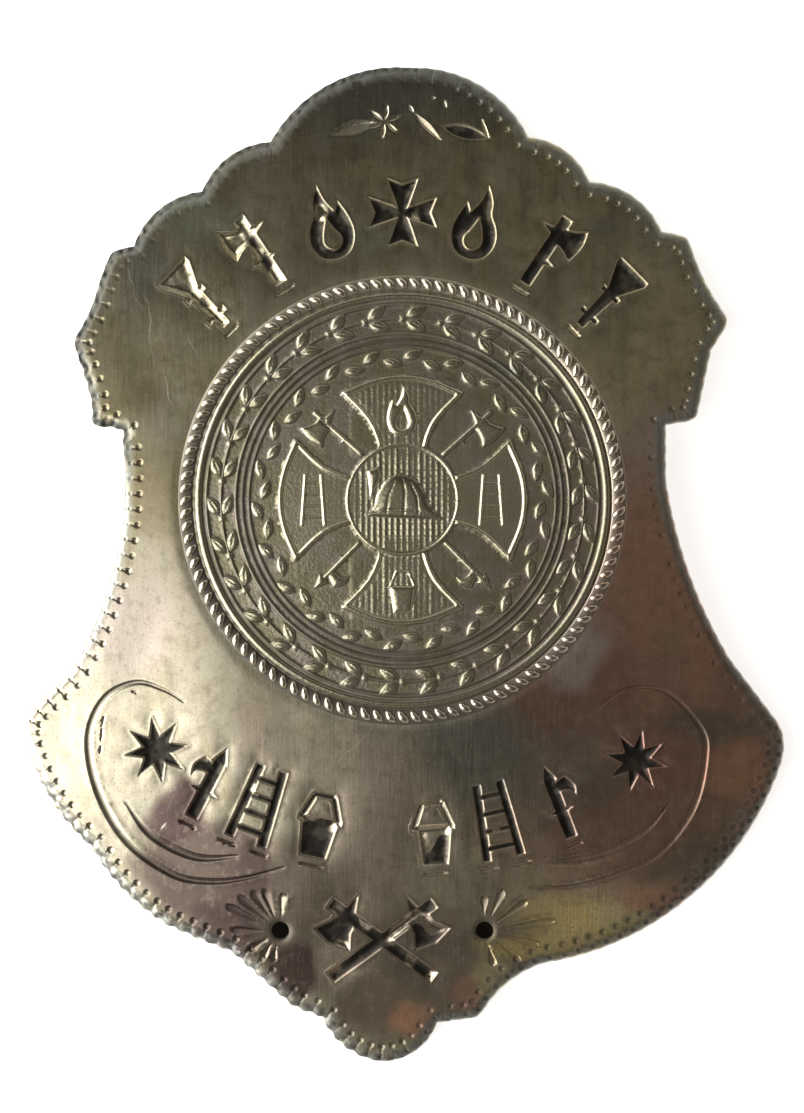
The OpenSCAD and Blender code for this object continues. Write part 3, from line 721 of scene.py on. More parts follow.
def triangulate(loops, points):
    # triangles between the first loop and the others, over all the points
    everything = np.concatenate(list(loops) + [points])
    edges = []
    first = 0
    for loop in loops:
        count = len(loop)
        edges += [(first + i, first + (i + 1) % count) for i in range(count)]
        first += count
    result = delaunay_2d_cdt([Vector(p) for p in everything], edges, [], 1, 1e-7)
    places = np.array([tuple(v) for v in result[0]])
    triangles = np.array(result[2])
    middles = places[triangles].mean(1)
    keep = np.ones(len(triangles), bool)
    for loop in loops[1:]:
        keep &= ~insideShape(middles, loop)
    triangles = triangles[keep]
    a, b, c = (places[triangles[:, k]] for k in range(3))
    area = (b[:, 0] - a[:, 0]) * (c[:, 1] - a[:, 1]) - (c[:, 0] - a[:, 0]) * (b[:, 1] - a[:, 1])
    triangles[area < 0] = triangles[area < 0][:, ::-1]
    number = {}
    for new, olds in enumerate(result[3]):
        for old in olds:
            number[old] = new
    return places, triangles, number


def addPiece(name, places, faces, material, node):
    mesh = bpy.data.meshes.new(name)
    mesh.from_pydata((places * metre).tolist(), [], faces)
    mesh.materials.append(material)
    mesh.polygons.foreach_set("use_smooth", np.ones(len(mesh.polygons), bool))
    mesh.update()
    piece = bpy.data.objects.new(name, mesh)
    bpy.context.scene.collection.objects.link(piece)
    addTarnishAndGleams(piece)
    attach(piece, "root")
    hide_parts(node)
    return piece


def addMask(piece, name, values):
    layer = piece.data.attributes.new(name, "FLOAT", "POINT")
    layer.data.foreach_set("value", np.clip(values, 0, 1).astype(np.float32))


def closedSheet(front, frontFaces, frontNumber, back, backFaces, backNumber, loops):
    # joins a front and a back that share their loops into one closed mesh
    places = np.concatenate([front, back])
    faces = [tuple(f) for f in frontFaces.tolist()]
    shift = len(front)
    faces += [(a + shift, c + shift, b + shift) for a, b, c in backFaces.tolist()]
    first = 0
    for loop, outer in loops:
        count = len(loop)
        for i in range(count):
            a = first + i
            b = first + (i + 1) % count
            wall = (frontNumber[a], frontNumber[b], backNumber[b] + shift, backNumber[a] + shift)
            faces.append(wall if outer else wall[::-1])
        first += count
    return places, faces


# Materials
def addNode(tree, kind, values=None, **settings):
    node = tree.nodes.new(kind)
    for key, value in settings.items():
        setattr(node, key, value)
    for key, value in (values or {}).items():
        if hasattr(value, "is_output"):
            tree.links.new(value, node.inputs[key])
        else:
            node.inputs[key].default_value = value
    return node


def addMath(tree, operation, a, b=0.0, clamp=False):
    return addNode(tree, "ShaderNodeMath", {0: a, 1: b}, operation=operation, use_clamp=clamp).outputs[0]


def addMix(tree, share, a, b, blend="MIX"):
    node = addNode(tree, "ShaderNodeMix", {0: share}, data_type="RGBA", blend_type=blend)
    for socket, value in ((6, a), (7, b)):
        if hasattr(value, "is_output"):
            tree.links.new(value, node.inputs[socket])
        else:
            node.inputs[socket].default_value = (*value, 1)
    return node.outputs[2]


def addNoise(tree, vector, scale, detail, rough=0.6, distortion=0.0):
    return addNode(tree, "ShaderNodeTexNoise", {
        "Vector": vector, "Scale": scale, "Detail": detail, "Roughness": rough, "Distortion": distortion},
        noise_dimensions="2D")


def addRange(tree, value, low, high, start=0.0, end=1.0):
    node = addNode(tree, "ShaderNodeMapRange", {0: value, 1: low, 2: high, 3: start, 4: end})
    node.interpolation_type = "SMOOTHSTEP"
    return node.outputs[0]


def addVector(tree, operation, values, output=0):
    return addNode(tree, "ShaderNodeVectorMath", values, operation=operation).outputs[output]


def readAttribute(tree, name, output="Fac"):
    return addNode(tree, "ShaderNodeAttribute", attribute_name=name).outputs[output]


def millimetrePlace(tree):
    place = addNode(tree, "ShaderNodeTexCoord").outputs["Object"]
    return addVector(tree, "SCALE", {0: place, 3: 1000})


def stretched(tree, vector, turn, scale):
    return addNode(tree, "ShaderNodeMapping", {
        "Vector": vector, "Rotation": (0, 0, math.radians(turn)), "Scale": scale}).outputs[0]


def spotDistance(tree, vector, middle, reach, turn=0.0):
    # distance from the middle of a spot, as a share of its reach
    mapped = addNode(tree, "ShaderNodeMapping", {
        "Vector": vector, "Location": middle, "Rotation": (0, 0, math.radians(turn)), "Scale": reach
    }, vector_type="TEXTURE").outputs[0]
    return addVector(tree, "LENGTH", {0: mapped}, "Value")


def startGroup(name, inputs, outputs):
    tree = bpy.data.node_groups.new(name, "ShaderNodeTree")
    for socket, kind, value in inputs:
        made = tree.interface.new_socket(name=socket, in_out="INPUT", socket_type=kind)
        made.default_value = value
    for socket, kind in outputs:
        tree.interface.new_socket(name=socket, in_out="OUTPUT", socket_type=kind)
    return tree, tree.nodes.new("NodeGroupInput"), tree.nodes.new("NodeGroupOutput")


# The colours of the tarnish and the painted gleams, named as they look in the photo
palette = {
    "nickel": (0.6, 0.55, 0.4),
    "olive": (0.5, 0.45, 0.3),
    "moss": (0.4, 0.35, 0.2),
    "straw": (0.75, 0.65, 0.4),
    "cream": (0.7, 0.65, 0.5),
    "sage": (0.5, 0.55, 0.4),
    "slate": (0.35, 0.35, 0.3),
    "umber": (0.3, 0.25, 0.2),
    "soot": (0.15, 0.1, 0.1),
    "redBrown": (0.45, 0.25, 0.2),
    "copper": (0.6, 0.35, 0.25),
    "salmon": (0.8, 0.45, 0.3),
    "brassy": (0.8, 0.65, 0.3),
    "taupe": (0.6, 0.5, 0.4),
    "rosy": (0.75, 0.65, 0.6)
}
# Each patch: its middle, its reach across and up, its colour, its strength and its edge's softness
tarnishAndGleams = {
    "bare": "nickel",
    "broad": [
        (0, 27, 27, 13, "olive", 0.95, 0.45),
        (-16, 8, 8, 18, "olive", 0.85, 0.45),
        (-19, -11, 9, 12, "cream", 0.9, 0.45),
        (6.5, 24, 9, 6, "straw", 0.8, 0.45),
        (-7.5, 24, 6, 5, "olive", 0.6, 0.45),
        (16, 14.5, 6.5, 6.5, "straw", 0.85, 0.45)
    ],
    "stainsAndGleams": [
        # the right half, reddest beside the seal and towards the tip
        (15, -8, 12, 17, "redBrown", 0.8, 0.45),
        (17, 0, 5.5, 6, "copper", 0.75, 0.45),
        (18, 8, 4, 3.5, "taupe", 0.6, 0.45),
        (4.5, -12, 3.5, 4, "slate", 0.85, 0.45),
        (11, -5.5, 2, 2.5, "rosy", 0.8, 0.4),
        (15, -4.5, 1.5, 1.5, "copper", 0.75, 0.4),
        (16.5, -5, 1.5, 1, "moss", 0.4, 0.4),
        (13.5, -7.5, 1.5, 2, "redBrown", 0.75, 0.4),
        (16, -9, 1.5, 1.5, "copper", 0.7, 0.4),
        (19, -6.5, 1.5, 3, "copper", 0.8, 0.4),
        (19.5, -10, 4, 1, "umber", 0.8, 0.35),
        (21, -13, 2, 2.5, "salmon", 0.8, 0.4),
        (16, -12.5, 3, 2.5, "redBrown", 0.6, 0.4),
        (13, -14, 1.5, 2, "umber", 0.7, 0.4),
        (9.5, -13.5, 3, 3.5, "slate", 0.5, 0.45),
        # the lower middle and the left
        (-2, -16, 4, 7, "taupe", 0.7, 0.45),
        (-8.5, -11, 3, 3, "taupe", 0.5, 0.45),
        (-17, -4, 3.5, 3.5, "rosy", 0.6, 0.45),
        (-15.5, 5, 3, 3.5, "moss", 0.7, 0.45),
        (-18, 11.5, 2, 2.5, "moss", 0.6, 0.45),
        # the top
        (-13, 22, 2.5, 2, "sage", 0.7, 0.35),
        (-2, 25, 1.5, 1, "straw", 0.6, 0.4),
        (-2.5, 21, 1.5, 1, "sage", 0.6, 0.4),
        (-16.5, 19, 1.5, 2.5, "slate", 0.75, 0.4),
        (12, 21.5, 1, 1, "slate", 0.6, 0.35),
        (0, 30.5, 10, 3, "slate", 0.75, 0.45),
        # the dark scroll at the lower left
        (-7.5, -21.5, 4.5, 4, "umber", 0.9, 0.3),
        (-12.5, -19.5, 4.5, 3.5, "soot", 0.8, 0.2),
        (-11.5, -23, 2.5, 1.5, "soot", 0.85, 0.3),
        (-14.5, -15.5, 2, 2.5, "soot", 0.95, 0.2),
        # the bottom lobe and the skirt at the lower right
        (2.5, -26, 8, 5.5, "umber", 0.9, 0.3),
        (-4, -25.5, 1.5, 1.5, "taupe", 0.8, 0.3),
        (-7, -25.5, 2, 2, "soot", 0.9, 0.2),
        (-3.5, -28.5, 1.5, 2, "umber", 0.85, 0.35),
        # painted highlight: the salmon patch at the tip is a bright gleam painted into the colour
        (0, -29, 1, 1.5, "salmon", 0.85, 0.5),
        (3.5, -27.5, 1.5, 1, "copper", 0.7, 0.4),
        (5.5, -26.5, 1.5, 1.5, "straw", 0.7, 0.4),
        # partly painted highlight: the brassy patches and the straw, salmon and copper ones beside them
        # along the skirt are a yellow to pink gleam
        (8.5, -24.5, 3.5, 1, "brassy", 0.8, 0.4),
        (11, -22.5, 4, 1.5, "brassy", 0.9, 0.5),
        (13.5, -22, 2, 1, "straw", 0.8, 0.4),
        (15, -21, 1.5, 1, "salmon", 0.7, 0.4),
        (16, -21.5, 2, 1, "copper", 0.8, 0.4),
        (18.5, -19, 3, 1.5, "umber", 0.7, 0.4)
    ]
}
# Scratches and smears: across, up, turn, half length, half width, colour and strength
handMarks = [
    (-16.2, 15.2, -82, 2.9, 0.05, (0.95, 0.93, 0.82), 0.75),
    (-13.4, 14.1, -65, 1.3, 0.05, (0.95, 0.93, 0.82), 0.6),
    (-17.1, 17.3, -71, 2.4, 0.04, (0.95, 0.93, 0.82), 0.45),
    (-14.9, 11.1, -66, 1.4, 0.05, (0.95, 0.93, 0.82), 0.7),
    (-15.3, -16.6, 50, 0.4, 0.06, (1, 0.95, 0.85), 0.9),
    (-3.2, -11.6, 47, 2.6, 0.04, (0.95, 0.9, 0.8), 0.5),
    (17.4, -6.9, -86, 1.3, 0.04, (0.9, 0.75, 0.6), 0.5),
    (-8.8, -12.5, -88, 3.4, 0.04, (1, 0.95, 0.85), 0.4),
    (6.6, 12.4, -22, 3.6, 0.42, (0.14, 0.16, 0.15), 0.5),
    (9.3, 10.7, -40, 1.6, 0.3, (0.14, 0.15, 0.14), 0.4)
]
# near-black for dirt and painted shade in hollows, grey-green for the painted sheen along the rim
dirtShadeAndSheen = {
    "dirtAndShade": (0.016, 0.014, 0.011), "rim": (0.30, 0.325, 0.31)
}


def tarnishAndGleamsAt(points):
    # the broad tarnish, and the stains and painted gleams that lie over it with the share that they cover
    bent = np.stack([softNoise(points, 8, 401), softNoise(points, 8, 402)], 1) * 0.6
    bent += np.stack([softNoise(points, 2.4, 403), softNoise(points, 2.4, 404)], 1) * 0.3
    moved = points + bent

    def layered(patches, colour):
        cover = np.zeros(len(points))
        for across, up, reachX, reachY, paint, strength, soft in patches:
            far = np.hypot((moved[:, 0] - across) / reachX, (moved[:, 1] - up) / reachY)
            share = strength * (1 - softStep(far, 0.9 - soft, 0.9 + soft))
            colour = colour * (1 - share)[:, None] + np.array(palette[paint]) * share[:, None]
            cover = 1 - (1 - cover) * (1 - share)
        return colour, cover

    broad, ignored = layered(tarnishAndGleams["broad"], np.tile(palette[tarnishAndGleams["bare"]], (len(points), 1)))
    stainsAndGleams, cover = layered(tarnishAndGleams["stainsAndGleams"], np.zeros((len(points), 3)))
    return broad, stainsAndGleams / np.maximum(cover, 0.001)[:, None], cover


def addTarnishAndGleams(piece):
    places = np.empty(len(piece.data.vertices) * 3)
    piece.data.vertices.foreach_get("co", places)
    broad, stainsAndGleams, cover = tarnishAndGleamsAt(places.reshape(-1, 3)[:, :2] / metre)
    for name, colours in (("broad", broad), ("stainsAndGleams", stainsAndGleams)):
        layer = piece.data.attributes.new(name, "FLOAT_VECTOR", "POINT")
        layer.data.foreach_set("vector", colours.astype(np.float32).ravel())
    addMask(piece, "stainAndGleamShare", cover)


def makeTarnishAndGleamsGroup():
    tree, inside, outside = startGroup("tarnishAndGleamPatches", [], [("Color", "NodeSocketColor")])
    millimetres = millimetrePlace(tree)
    colour = readAttribute(tree, "broad", "Vector")
    cloud = addNoise(tree, millimetres, 0.7, 5, 0.65).outputs[0]
    colour = addMix(tree, addRange(tree, cloud, 0.42, 0.75, 0, 0.4), colour, (0.33, 0.26, 0.17))
    bloom = addNoise(tree, millimetres, 0.3, 4, 0.6, 0.5).outputs[0]
    colour = addMix(tree, addRange(tree, bloom, 0.5, 0.68, 0, 0.3), colour, (0.66, 0.66, 0.52))
    colour = addMix(tree, addRange(tree, bloom, 0.48, 0.34, 0, 0.3), colour, (0.36, 0.33, 0.16))
    upright = stretched(tree, millimetres, -3, (0.55, 0.05, 1))
    streak = addNoise(tree, upright, 1, 4, 0.55).outputs[0]
    colour = addMix(tree, addRange(tree, streak, 0.5, 0.66, 0, 0.4), colour, (0.36, 0.34, 0.27))
    colour = addMix(tree, addRange(tree, streak, 0.48, 0.36, 0, 0.25), colour, (0.72, 0.64, 0.56))
    stainsAndGleams = readAttribute(tree, "stainsAndGleams", "Vector")
    stainAndGleamShare = readAttribute(tree, "stainAndGleamShare")
    colour = addMix(tree, stainAndGleamShare, colour, stainsAndGleams)
    mottle = addNoise(tree, millimetres, 1.1, 5, 0.68).outputs[0]
    colour = addMix(tree, addRange(tree, mottle, 0.5, 0.72, 0, 0.35), colour, (0.25, 0.21, 0.15))
    colour = addMix(tree, addRange(tree, mottle, 0.48, 0.3, 0, 0.2), colour, (0.74, 0.66, 0.52))
    speck = addNoise(tree, millimetres, 5.5, 4, 0.7).outputs[0]
    colour = addMix(tree, addRange(tree, speck, 0.5, 0.8, 0, 0.3), colour, (0.30, 0.23, 0.15))
    tree.links.new(colour, outside.inputs["Color"])
    return tree


def makeWearShadeAndSheenGroup():
    tree, inside, outside = startGroup(
        "wearShadeAndSheen",
        [("Hollow", "NodeSocketFloat", 0.0), ("Rim", "NodeSocketFloat", 0.0),
         ("Grain", "NodeSocketFloat", 0.4), ("Brushing", "NodeSocketFloat", 1.0),
         ("Base", "NodeSocketColor", (1, 1, 1, 1))],
        [("Color", "NodeSocketColor"), ("Roughness", "NodeSocketFloat"), ("Metal", "NodeSocketFloat"),
         ("Normal", "NodeSocketVector")])
    millimetres = millimetrePlace(tree)
    brush = addNoise(tree, stretched(tree, millimetres, 4, (9, 0.35, 1)), 1, 4, 0.72).outputs[0]
    cross = addNoise(tree, stretched(tree, millimetres, -28, (11, 0.5, 1)), 1, 2, 0.6).outputs[0]
    lines = None
    for turn, seed in ((12, 3.1), (-48, 17.7)):
        stretch = stretched(tree, millimetres, turn, (1.7, 0.11, 1))
        shifted = addVector(tree, "ADD", {0: stretch, 1: (seed, seed * 2, 0)})
        bent = addNoise(tree, shifted, 0.6, 2).outputs[0]
        crack = addNode(tree, "ShaderNodeTexVoronoi", {"Vector": shifted, "Scale": 1},
                        feature="DISTANCE_TO_EDGE", voronoi_dimensions="2D").outputs[0]
        thin = addRange(tree, crack, 0.0, 0.02, 1, 0)
        here = addMath(tree, "MULTIPLY", thin, addRange(tree, bent, 0.56, 0.64, 0, 1))
        lines = here if lines is None else addMath(tree, "MAXIMUM", lines, here)
    pits = addNoise(tree, millimetres, 6, 3).outputs[0]
    pit = addRange(tree, pits, 0.62, 0.72, 0, 1)
    dirtShadeNoise = addNoise(tree, millimetres, 0.8, 2).outputs[0]
    patchy = addRange(tree, dirtShadeNoise, 0.36, 0.56, 0.92, 1)
    # the hollow mask darkens the colour towards near-black: dirt, and painted shade in recesses and crevices
    dirtAndShade = addMath(tree, "MULTIPLY", inside.outputs["Hollow"], patchy, True)
    colour = inside.outputs["Base"]
    bend = addNoise(tree, millimetres, 0.3, 2).outputs["Color"]
    bent = addVector(tree, "SCALE", {0: bend, 3: 1.2})
    bent = addVector(tree, "ADD", {0: bent, 1: (-0.6, -0.6, 0)})
    bent = addVector(tree, "ADD", {0: millimetres, 1: bent})
    bent = addVector(tree, "MULTIPLY", {0: bent, 1: (1, 1, 0)})
    for across, up, turn, long, wide, paint, strength in handMarks:
        far = spotDistance(tree, bent, (across, up, 0), (long, wide, 1), turn)
        colour = addMix(tree, addRange(tree, far, 0.3, 1.1, strength, 0), colour, paint)
    colour = addMix(tree, addMath(tree, "MULTIPLY", lines, 0.12), colour, (0.9, 0.86, 0.74))
    colour = addMix(tree, addMath(tree, "MULTIPLY", pit, 0.35), colour, (0.20, 0.14, 0.09))
    # painted sheen: the rim's grey-green tone stands in for the rolled edge's reflection
    colour = addMix(tree, addMath(tree, "MULTIPLY", inside.outputs["Rim"], 0.8), colour, dirtShadeAndSheen["rim"])
    colour = addMix(tree, dirtAndShade, colour, dirtShadeAndSheen["dirtAndShade"])
    tree.links.new(colour, outside.inputs["Color"])
    rough = addRange(tree, brush, 0.3, 0.7, 0.14, 0.22)
    rough = addMath(tree, "ADD", rough, addMath(tree, "MULTIPLY", pit, 0.1))
    rough = addMath(tree, "ADD", rough, addMath(tree, "MULTIPLY", inside.outputs["Rim"], 0.22))
    rough = addMath(tree, "ADD", rough, addMath(tree, "MULTIPLY", dirtAndShade, 0.35), True)
    tree.links.new(rough, outside.inputs["Roughness"])
    metal = addMath(tree, "SUBTRACT", 1.0, addMath(tree, "MULTIPLY", dirtAndShade, 0.3), True)
    tree.links.new(metal, outside.inputs["Metal"])
    grain = addMath(tree, "ADD", brush, addMath(tree, "MULTIPLY", cross, 0.5))
    bumpOne = addNode(tree, "ShaderNodeBump", {"Height": grain, "Strength": inside.outputs["Brushing"],
                                              "Distance": 0.0000006})
    stipple = addNoise(tree, millimetres, 4.5, 3).outputs[0]
    bumpTwo = addNode(tree, "ShaderNodeBump", {"Height": stipple, "Strength": inside.outputs["Grain"],
                                              "Distance": 0.00002, "Normal": bumpOne.outputs[0]})
    tree.links.new(bumpTwo.outputs[0], outside.inputs["Normal"])
    return tree


tarnishAndGleamsGroup = makeTarnishAndGleamsGroup()
wearShadeAndSheenGroup = makeWearShadeAndSheenGroup()


def makeMetal(name, brushing, grain, tint=None, tintShare=0.0, raised=None, rim=False):
    material = bpy.data.materials.new(name)
    material.use_nodes = True
    tree = material.node_tree
    shader = tree.nodes["Principled BSDF"]
    hollow = readAttribute(tree, "hollow")
    colour = addNode(tree, "ShaderNodeGroup", node_tree=tarnishAndGleamsGroup).outputs["Color"]
    if tint:
        colour = addMix(tree, tintShare, colour, tint)
    if raised:
        # two tones that drift over the piece, and a third on what stands up
        place = addNode(tree, "ShaderNodeTexCoord").outputs["Object"]
        drift = addNoise(tree, place, 420, 5, 0.65).outputs[0]
        colour = addMix(tree, addRange(tree, drift, 0.4, 0.6, 0, 0.8), colour, raised[0])
        above = readAttribute(tree, "raised")
        colour = addMix(tree, addMath(tree, "MULTIPLY", above, 0.7), colour, raised[1])
    # scratches, pits and grain, with dirt and painted shade in the hollows and painted sheen on the rim
    worn = addNode(tree, "ShaderNodeGroup", node_tree=wearShadeAndSheenGroup)
    tree.links.new(hollow, worn.inputs["Hollow"])
    tree.links.new(colour, worn.inputs["Base"])
    worn.inputs["Brushing"].default_value = brushing
    worn.inputs["Grain"].default_value = grain
    if rim:
        edge = readAttribute(tree, "rim")
        tree.links.new(edge, worn.inputs["Rim"])
    for source, target in (("Color", "Base Color"), ("Roughness", "Roughness"), ("Metal", "Metallic"),
                           ("Normal", "Normal")):
        tree.links.new(worn.outputs[source], shader.inputs[target])
    return material


plateMetal = makeMetal("wornNickelSilver", 1.0, 0.03, rim=True)
sealMetal = makeMetal("struckNickelSilver", 0.45, 0.5, (0.51, 0.455, 0.385), 0.65,
                      [(0.42, 0.39, 0.24), (0.55, 0.52, 0.37)])
ropeMetal = makeMetal("ropeNickelSilver", 0.4, 0.1, (0.60, 0.55, 0.46), 0.65)
pinMetal = makeMetal("pinWire", 0.6, 0.1, (0.5, 0.46, 0.4), 0.8)
print("materials ready")

# The plate
allMarks = punchedMarks()
allCuts = lineCuts()
allBorder = borderFrames()
edgeLine = beatenLine(edgeLine, allBorder)


def edgeRows(line, distances):
    # copies of the edge, moved inwards, where they don't cross
    before, after = np.roll(line, 1, 0), np.roll(line, -1, 0)
    along = after - before
    along /= np.linalg.norm(along, axis=1)[:, None]
    out = np.stack([-along[:, 1], along[:, 0]], 1)
    rows = []
    for distance in distances:
        moved = line - out * distance
        truth = segmentDistance(moved, line, after)[0]
        rows.append(moved[truth > distance - 0.01])
    return np.concatenate(rows)


def edgeDistance(points):
    return segmentDistance(points, edgeLine, np.roll(edgeLine, -1, 0))[0]


def holeLoop(middle, radius, count=36):
    a = 2 * math.pi * np.arange(count) / count
    return middle + radius * np.stack([np.cos(a), np.sin(a)], 1)


def platePoints():
    inward = [plate["rollWide"] * (1 - math.cos(math.radians(a))) for a in (15, 30, 45, 65, 90)]
    rows = [edgeRows(edgeLine, inward)]
    for middle in holeMiddles:
        for wider in (0.03, 0.08, 0.16, 0.3):
            rows.append(holeLoop(middle, holes["diameter"] / 2 + wider))
    for mark in allMarks:
        rows.append(mark.rows((0.2, 0.1, 0.045, 0, -0.05, -0.11, -marks["wall"]), 0.13))
    for cut in allCuts:
        rows.append(cut.rows())
    template = borderTemplate()
    for here, out, along in allBorder:
        rows.append(here + template[:, :1] * out + template[:, 1:] * along)
    rows = thinOut(np.concatenate(rows), 0.035)
    inside = insideShape(rows, edgeLine)
    rows = rows[inside]
    rows = rows[edgeDistance(rows) > 0.02]
    lattice, coarse = latticePoints(-plateHalf, plateHalf, plate["fineStep"])
    keep = insideShape(lattice, edgeLine)
    lattice, coarse = lattice[keep], coarse[keep]
    fromEdge = edgeDistance(lattice)
    fine = (fromEdge > 0.42) & (fromEdge < 1.5)
    for feature in allMarks + allCuts:
        close = np.flatnonzero(feature.near(lattice, 0.6))
        if isinstance(feature, Cut):
            beside, half, middle = feature.position(lattice[close])
            fine[close] |= np.abs(beside) - half < 0.3
        else:
            fine[close] |= feature.distance(lattice[close]) < 0.5
    keep = (fine | coarse) & (fromEdge > 0.42)
    lattice = lattice[keep]
    fromSeal = np.linalg.norm(lattice - sealMiddle, axis=1)
    veryCoarse = (np.round(lattice[:, 1] / 0.31).astype(int) % 3 == 0)
    lattice = lattice[(fromSeal > 13.0) | veryCoarse]
    for middle in holeMiddles:
        lattice = lattice[np.linalg.norm(lattice - middle, axis=1) > holes["diameter"] / 2 + 0.36]
        rows = rows[np.linalg.norm(rows - middle, axis=1) > holes["diameter"] / 2 + 0.015]
    lattice = lattice[farFrom(lattice, rows, 0.085)]
    return np.concatenate([rows, lattice])


def plateRelief(points):
    # height over the smooth dome, and how much dirt and painted shade lies there
    height = np.zeros(len(points))
    dirtAndShade = np.zeros(len(points))
    fromEdge = edgeDistance(points)
    calm = softStep(fromEdge, 0.3, 4)
    height += calm * plate["wave"] * softNoise(points, plate["waveLength"], 11)
    height -= calm * plate["wave"]
    for number, mark in enumerate(allMarks):
        close = np.flatnonzero(mark.near(points, 2.2))
        d = mark.distance(points[close])
        deep = marks["depth"] * (0.9 + 0.12 * softNoise(points[close], 2.6, 50 + number))
        share = np.clip(-d / marks["wall"], 0, 1)
        groove = -deep * (1 - (1 - share) ** 1.7)
        uneven = 1 + 0.5 * softNoise(points[close], 1.8, 90 + number)
        lip = marks["lip"] * np.exp(-((d - 0.05) / 0.06) ** 2) * uneven
        sunk = -plate["sink"] * np.exp(-np.maximum(d, 0) / plate["sinkReach"])
        floor = 0.012 * softNoise(points[close], 0.6, 130 + number) * softStep(-d, 0.1, 0.25)
        height[close] += groove + lip + sunk + floor
        patch = softStep(softNoise(points[close], 2.2, 170 + number) + 2.6 * mark.black - 1.5, -0.25, 0.05)
        start = 0.09 - 0.08 * mark.black
        dirtAndShade[close] = np.maximum(dirtAndShade[close], softStep(-d, start, start + 0.09) * patch)
        corner = 0.45 * np.exp(-((d + 0.01) / 0.035) ** 2)
        dirtAndShade[close] = np.maximum(dirtAndShade[close], corner * (0.4 + 0.6 * patch))
    for cut in allCuts:
        close = np.flatnonzero(cut.near(points, 0.5))
        beside, half, middle = cut.position(points[close])
        distance = np.abs(beside)
        share = distance / half
        at = beside / half
        wedge = np.minimum((1 - at) / (1 - cut.lean), (1 + at) / (1 + cut.lean))
        shape = np.clip(wedge if cut.sharp else 1 - share ** 2, 0, 1)
        narrow = middle if cut.fade else np.minimum(1, half / cut.half.max())
        height[close] -= cut.depth * narrow * shape
        height[close] += 0.012 * np.exp(-((distance - half - 0.06) / 0.06) ** 2) * narrow
        dirtAndShade[close] = np.maximum(dirtAndShade[close], cut.dirtAndShade * np.clip(1.6 - 1.6 * share, 0, 1) * narrow)
    deep, stain = borderDepth(points, allBorder)
    height -= deep
    dirtAndShade = np.maximum(dirtAndShade, stain * 0.8)
    inward = np.clip(1 - fromEdge / plate["rollWide"], 0, 1)
    across, up = points[:, 0], points[:, 1]
    upperLeft = softStep(-across, -6, 2) * softStep(up, 3, 9)
    height -= plate["rollDeep"] * (1 - np.sqrt(1 - inward ** 2)) * (1 - 0.65 * upperLeft)
    for middle in holeMiddles:
        gap = np.linalg.norm(points - middle, axis=1) - holes["diameter"] / 2
        height -= 0.06 * np.exp(-np.maximum(gap, 0) / 0.1)
        dirtAndShade = np.maximum(dirtAndShade, 0.85 * np.exp(-np.maximum(gap, 0) / 0.16))
    fromSeal = np.linalg.norm(points - sealMiddle, axis=1)
    # painted sheen: a grey-green band along the rolled edge, wider towards the top, painted over the metal
    # and roughened
    upper = softStep(points @ np.array([0.5, 0.85]), 6, 14)
    rim = 1 - softStep(fromEdge, 0.25 + 0.25 * upper, 0.75 + 0.3 * upper)
    bleached = softStep(-across, 18.5, 22) * softStep(up, -14.6, -12.6) * softStep(-up, 0, 5)
    mottled = softStep(-fromEdge, -0.75, -0.45) * softStep(-(points @ np.array([0.72, 0.69])), 15, 18)
    blotchy = softStep(softNoise(points, 0.5, 303), -0.4, 0.6)
    dirtAndShade = np.maximum(dirtAndShade, 0.7 * mottled * (1 - bleached) * blotchy)
    dull = softStep(-fromEdge, -0.55, -0.22) * upperLeft
    dirtAndShade = np.maximum(dirtAndShade, dull * (0.72 + 0.3 * softNoise(points, 0.5, 307)))
    tip = softStep(-fromEdge, -1.2, -0.4) * softStep(across, -10.5, -7.5) * softStep(-across, -3, 1)
    dirtAndShade = np.maximum(dirtAndShade, tip * softStep(-up, 22, 25) * (0.55 + 0.3 * softNoise(points, 0.7, 309)))
    rim *= (1 - 0.85 * bleached) * (0.85 + 0.3 * softNoise(points, 1.1, 301))
    under = 1 - softStep(fromSeal, 13.35, 13.55)
    height = height * (1 - under) - 0.24 * under
    # dirt and painted shade: a dark ring round the rope's foot, darkest at the lower left
    outside = np.exp(-np.maximum(fromSeal - seal["bedOuter"], 0) / 0.14)
    aside = softStep(-((points - sealMiddle) @ np.array([0.7, 0.7])), -6, 10)
    dirtAndShade = np.maximum(dirtAndShade, (0.1 + 0.5 * aside) * outside)
    height -= 0.03 * outside * (1 - under)
    return height, dirtAndShade, rim


def backRelief(points):
    # the punches show faintly on the back
    height = np.zeros(len(points))
    for mark in allMarks:
        close = np.flatnonzero(mark.near(points, 1.5))
        if len(close):
            height[close] -= 0.1 * (1 - softStep(mark.distance(points[close]), -0.4, 0.7))
    fromEdge = edgeDistance(points)
    round_ = plate["backRound"]
    inward = np.clip(round_ - fromEdge, 0, round_)
    return height * softStep(fromEdge, 0.2, 2) + round_ - np.sqrt(round_ ** 2 - inward ** 2)


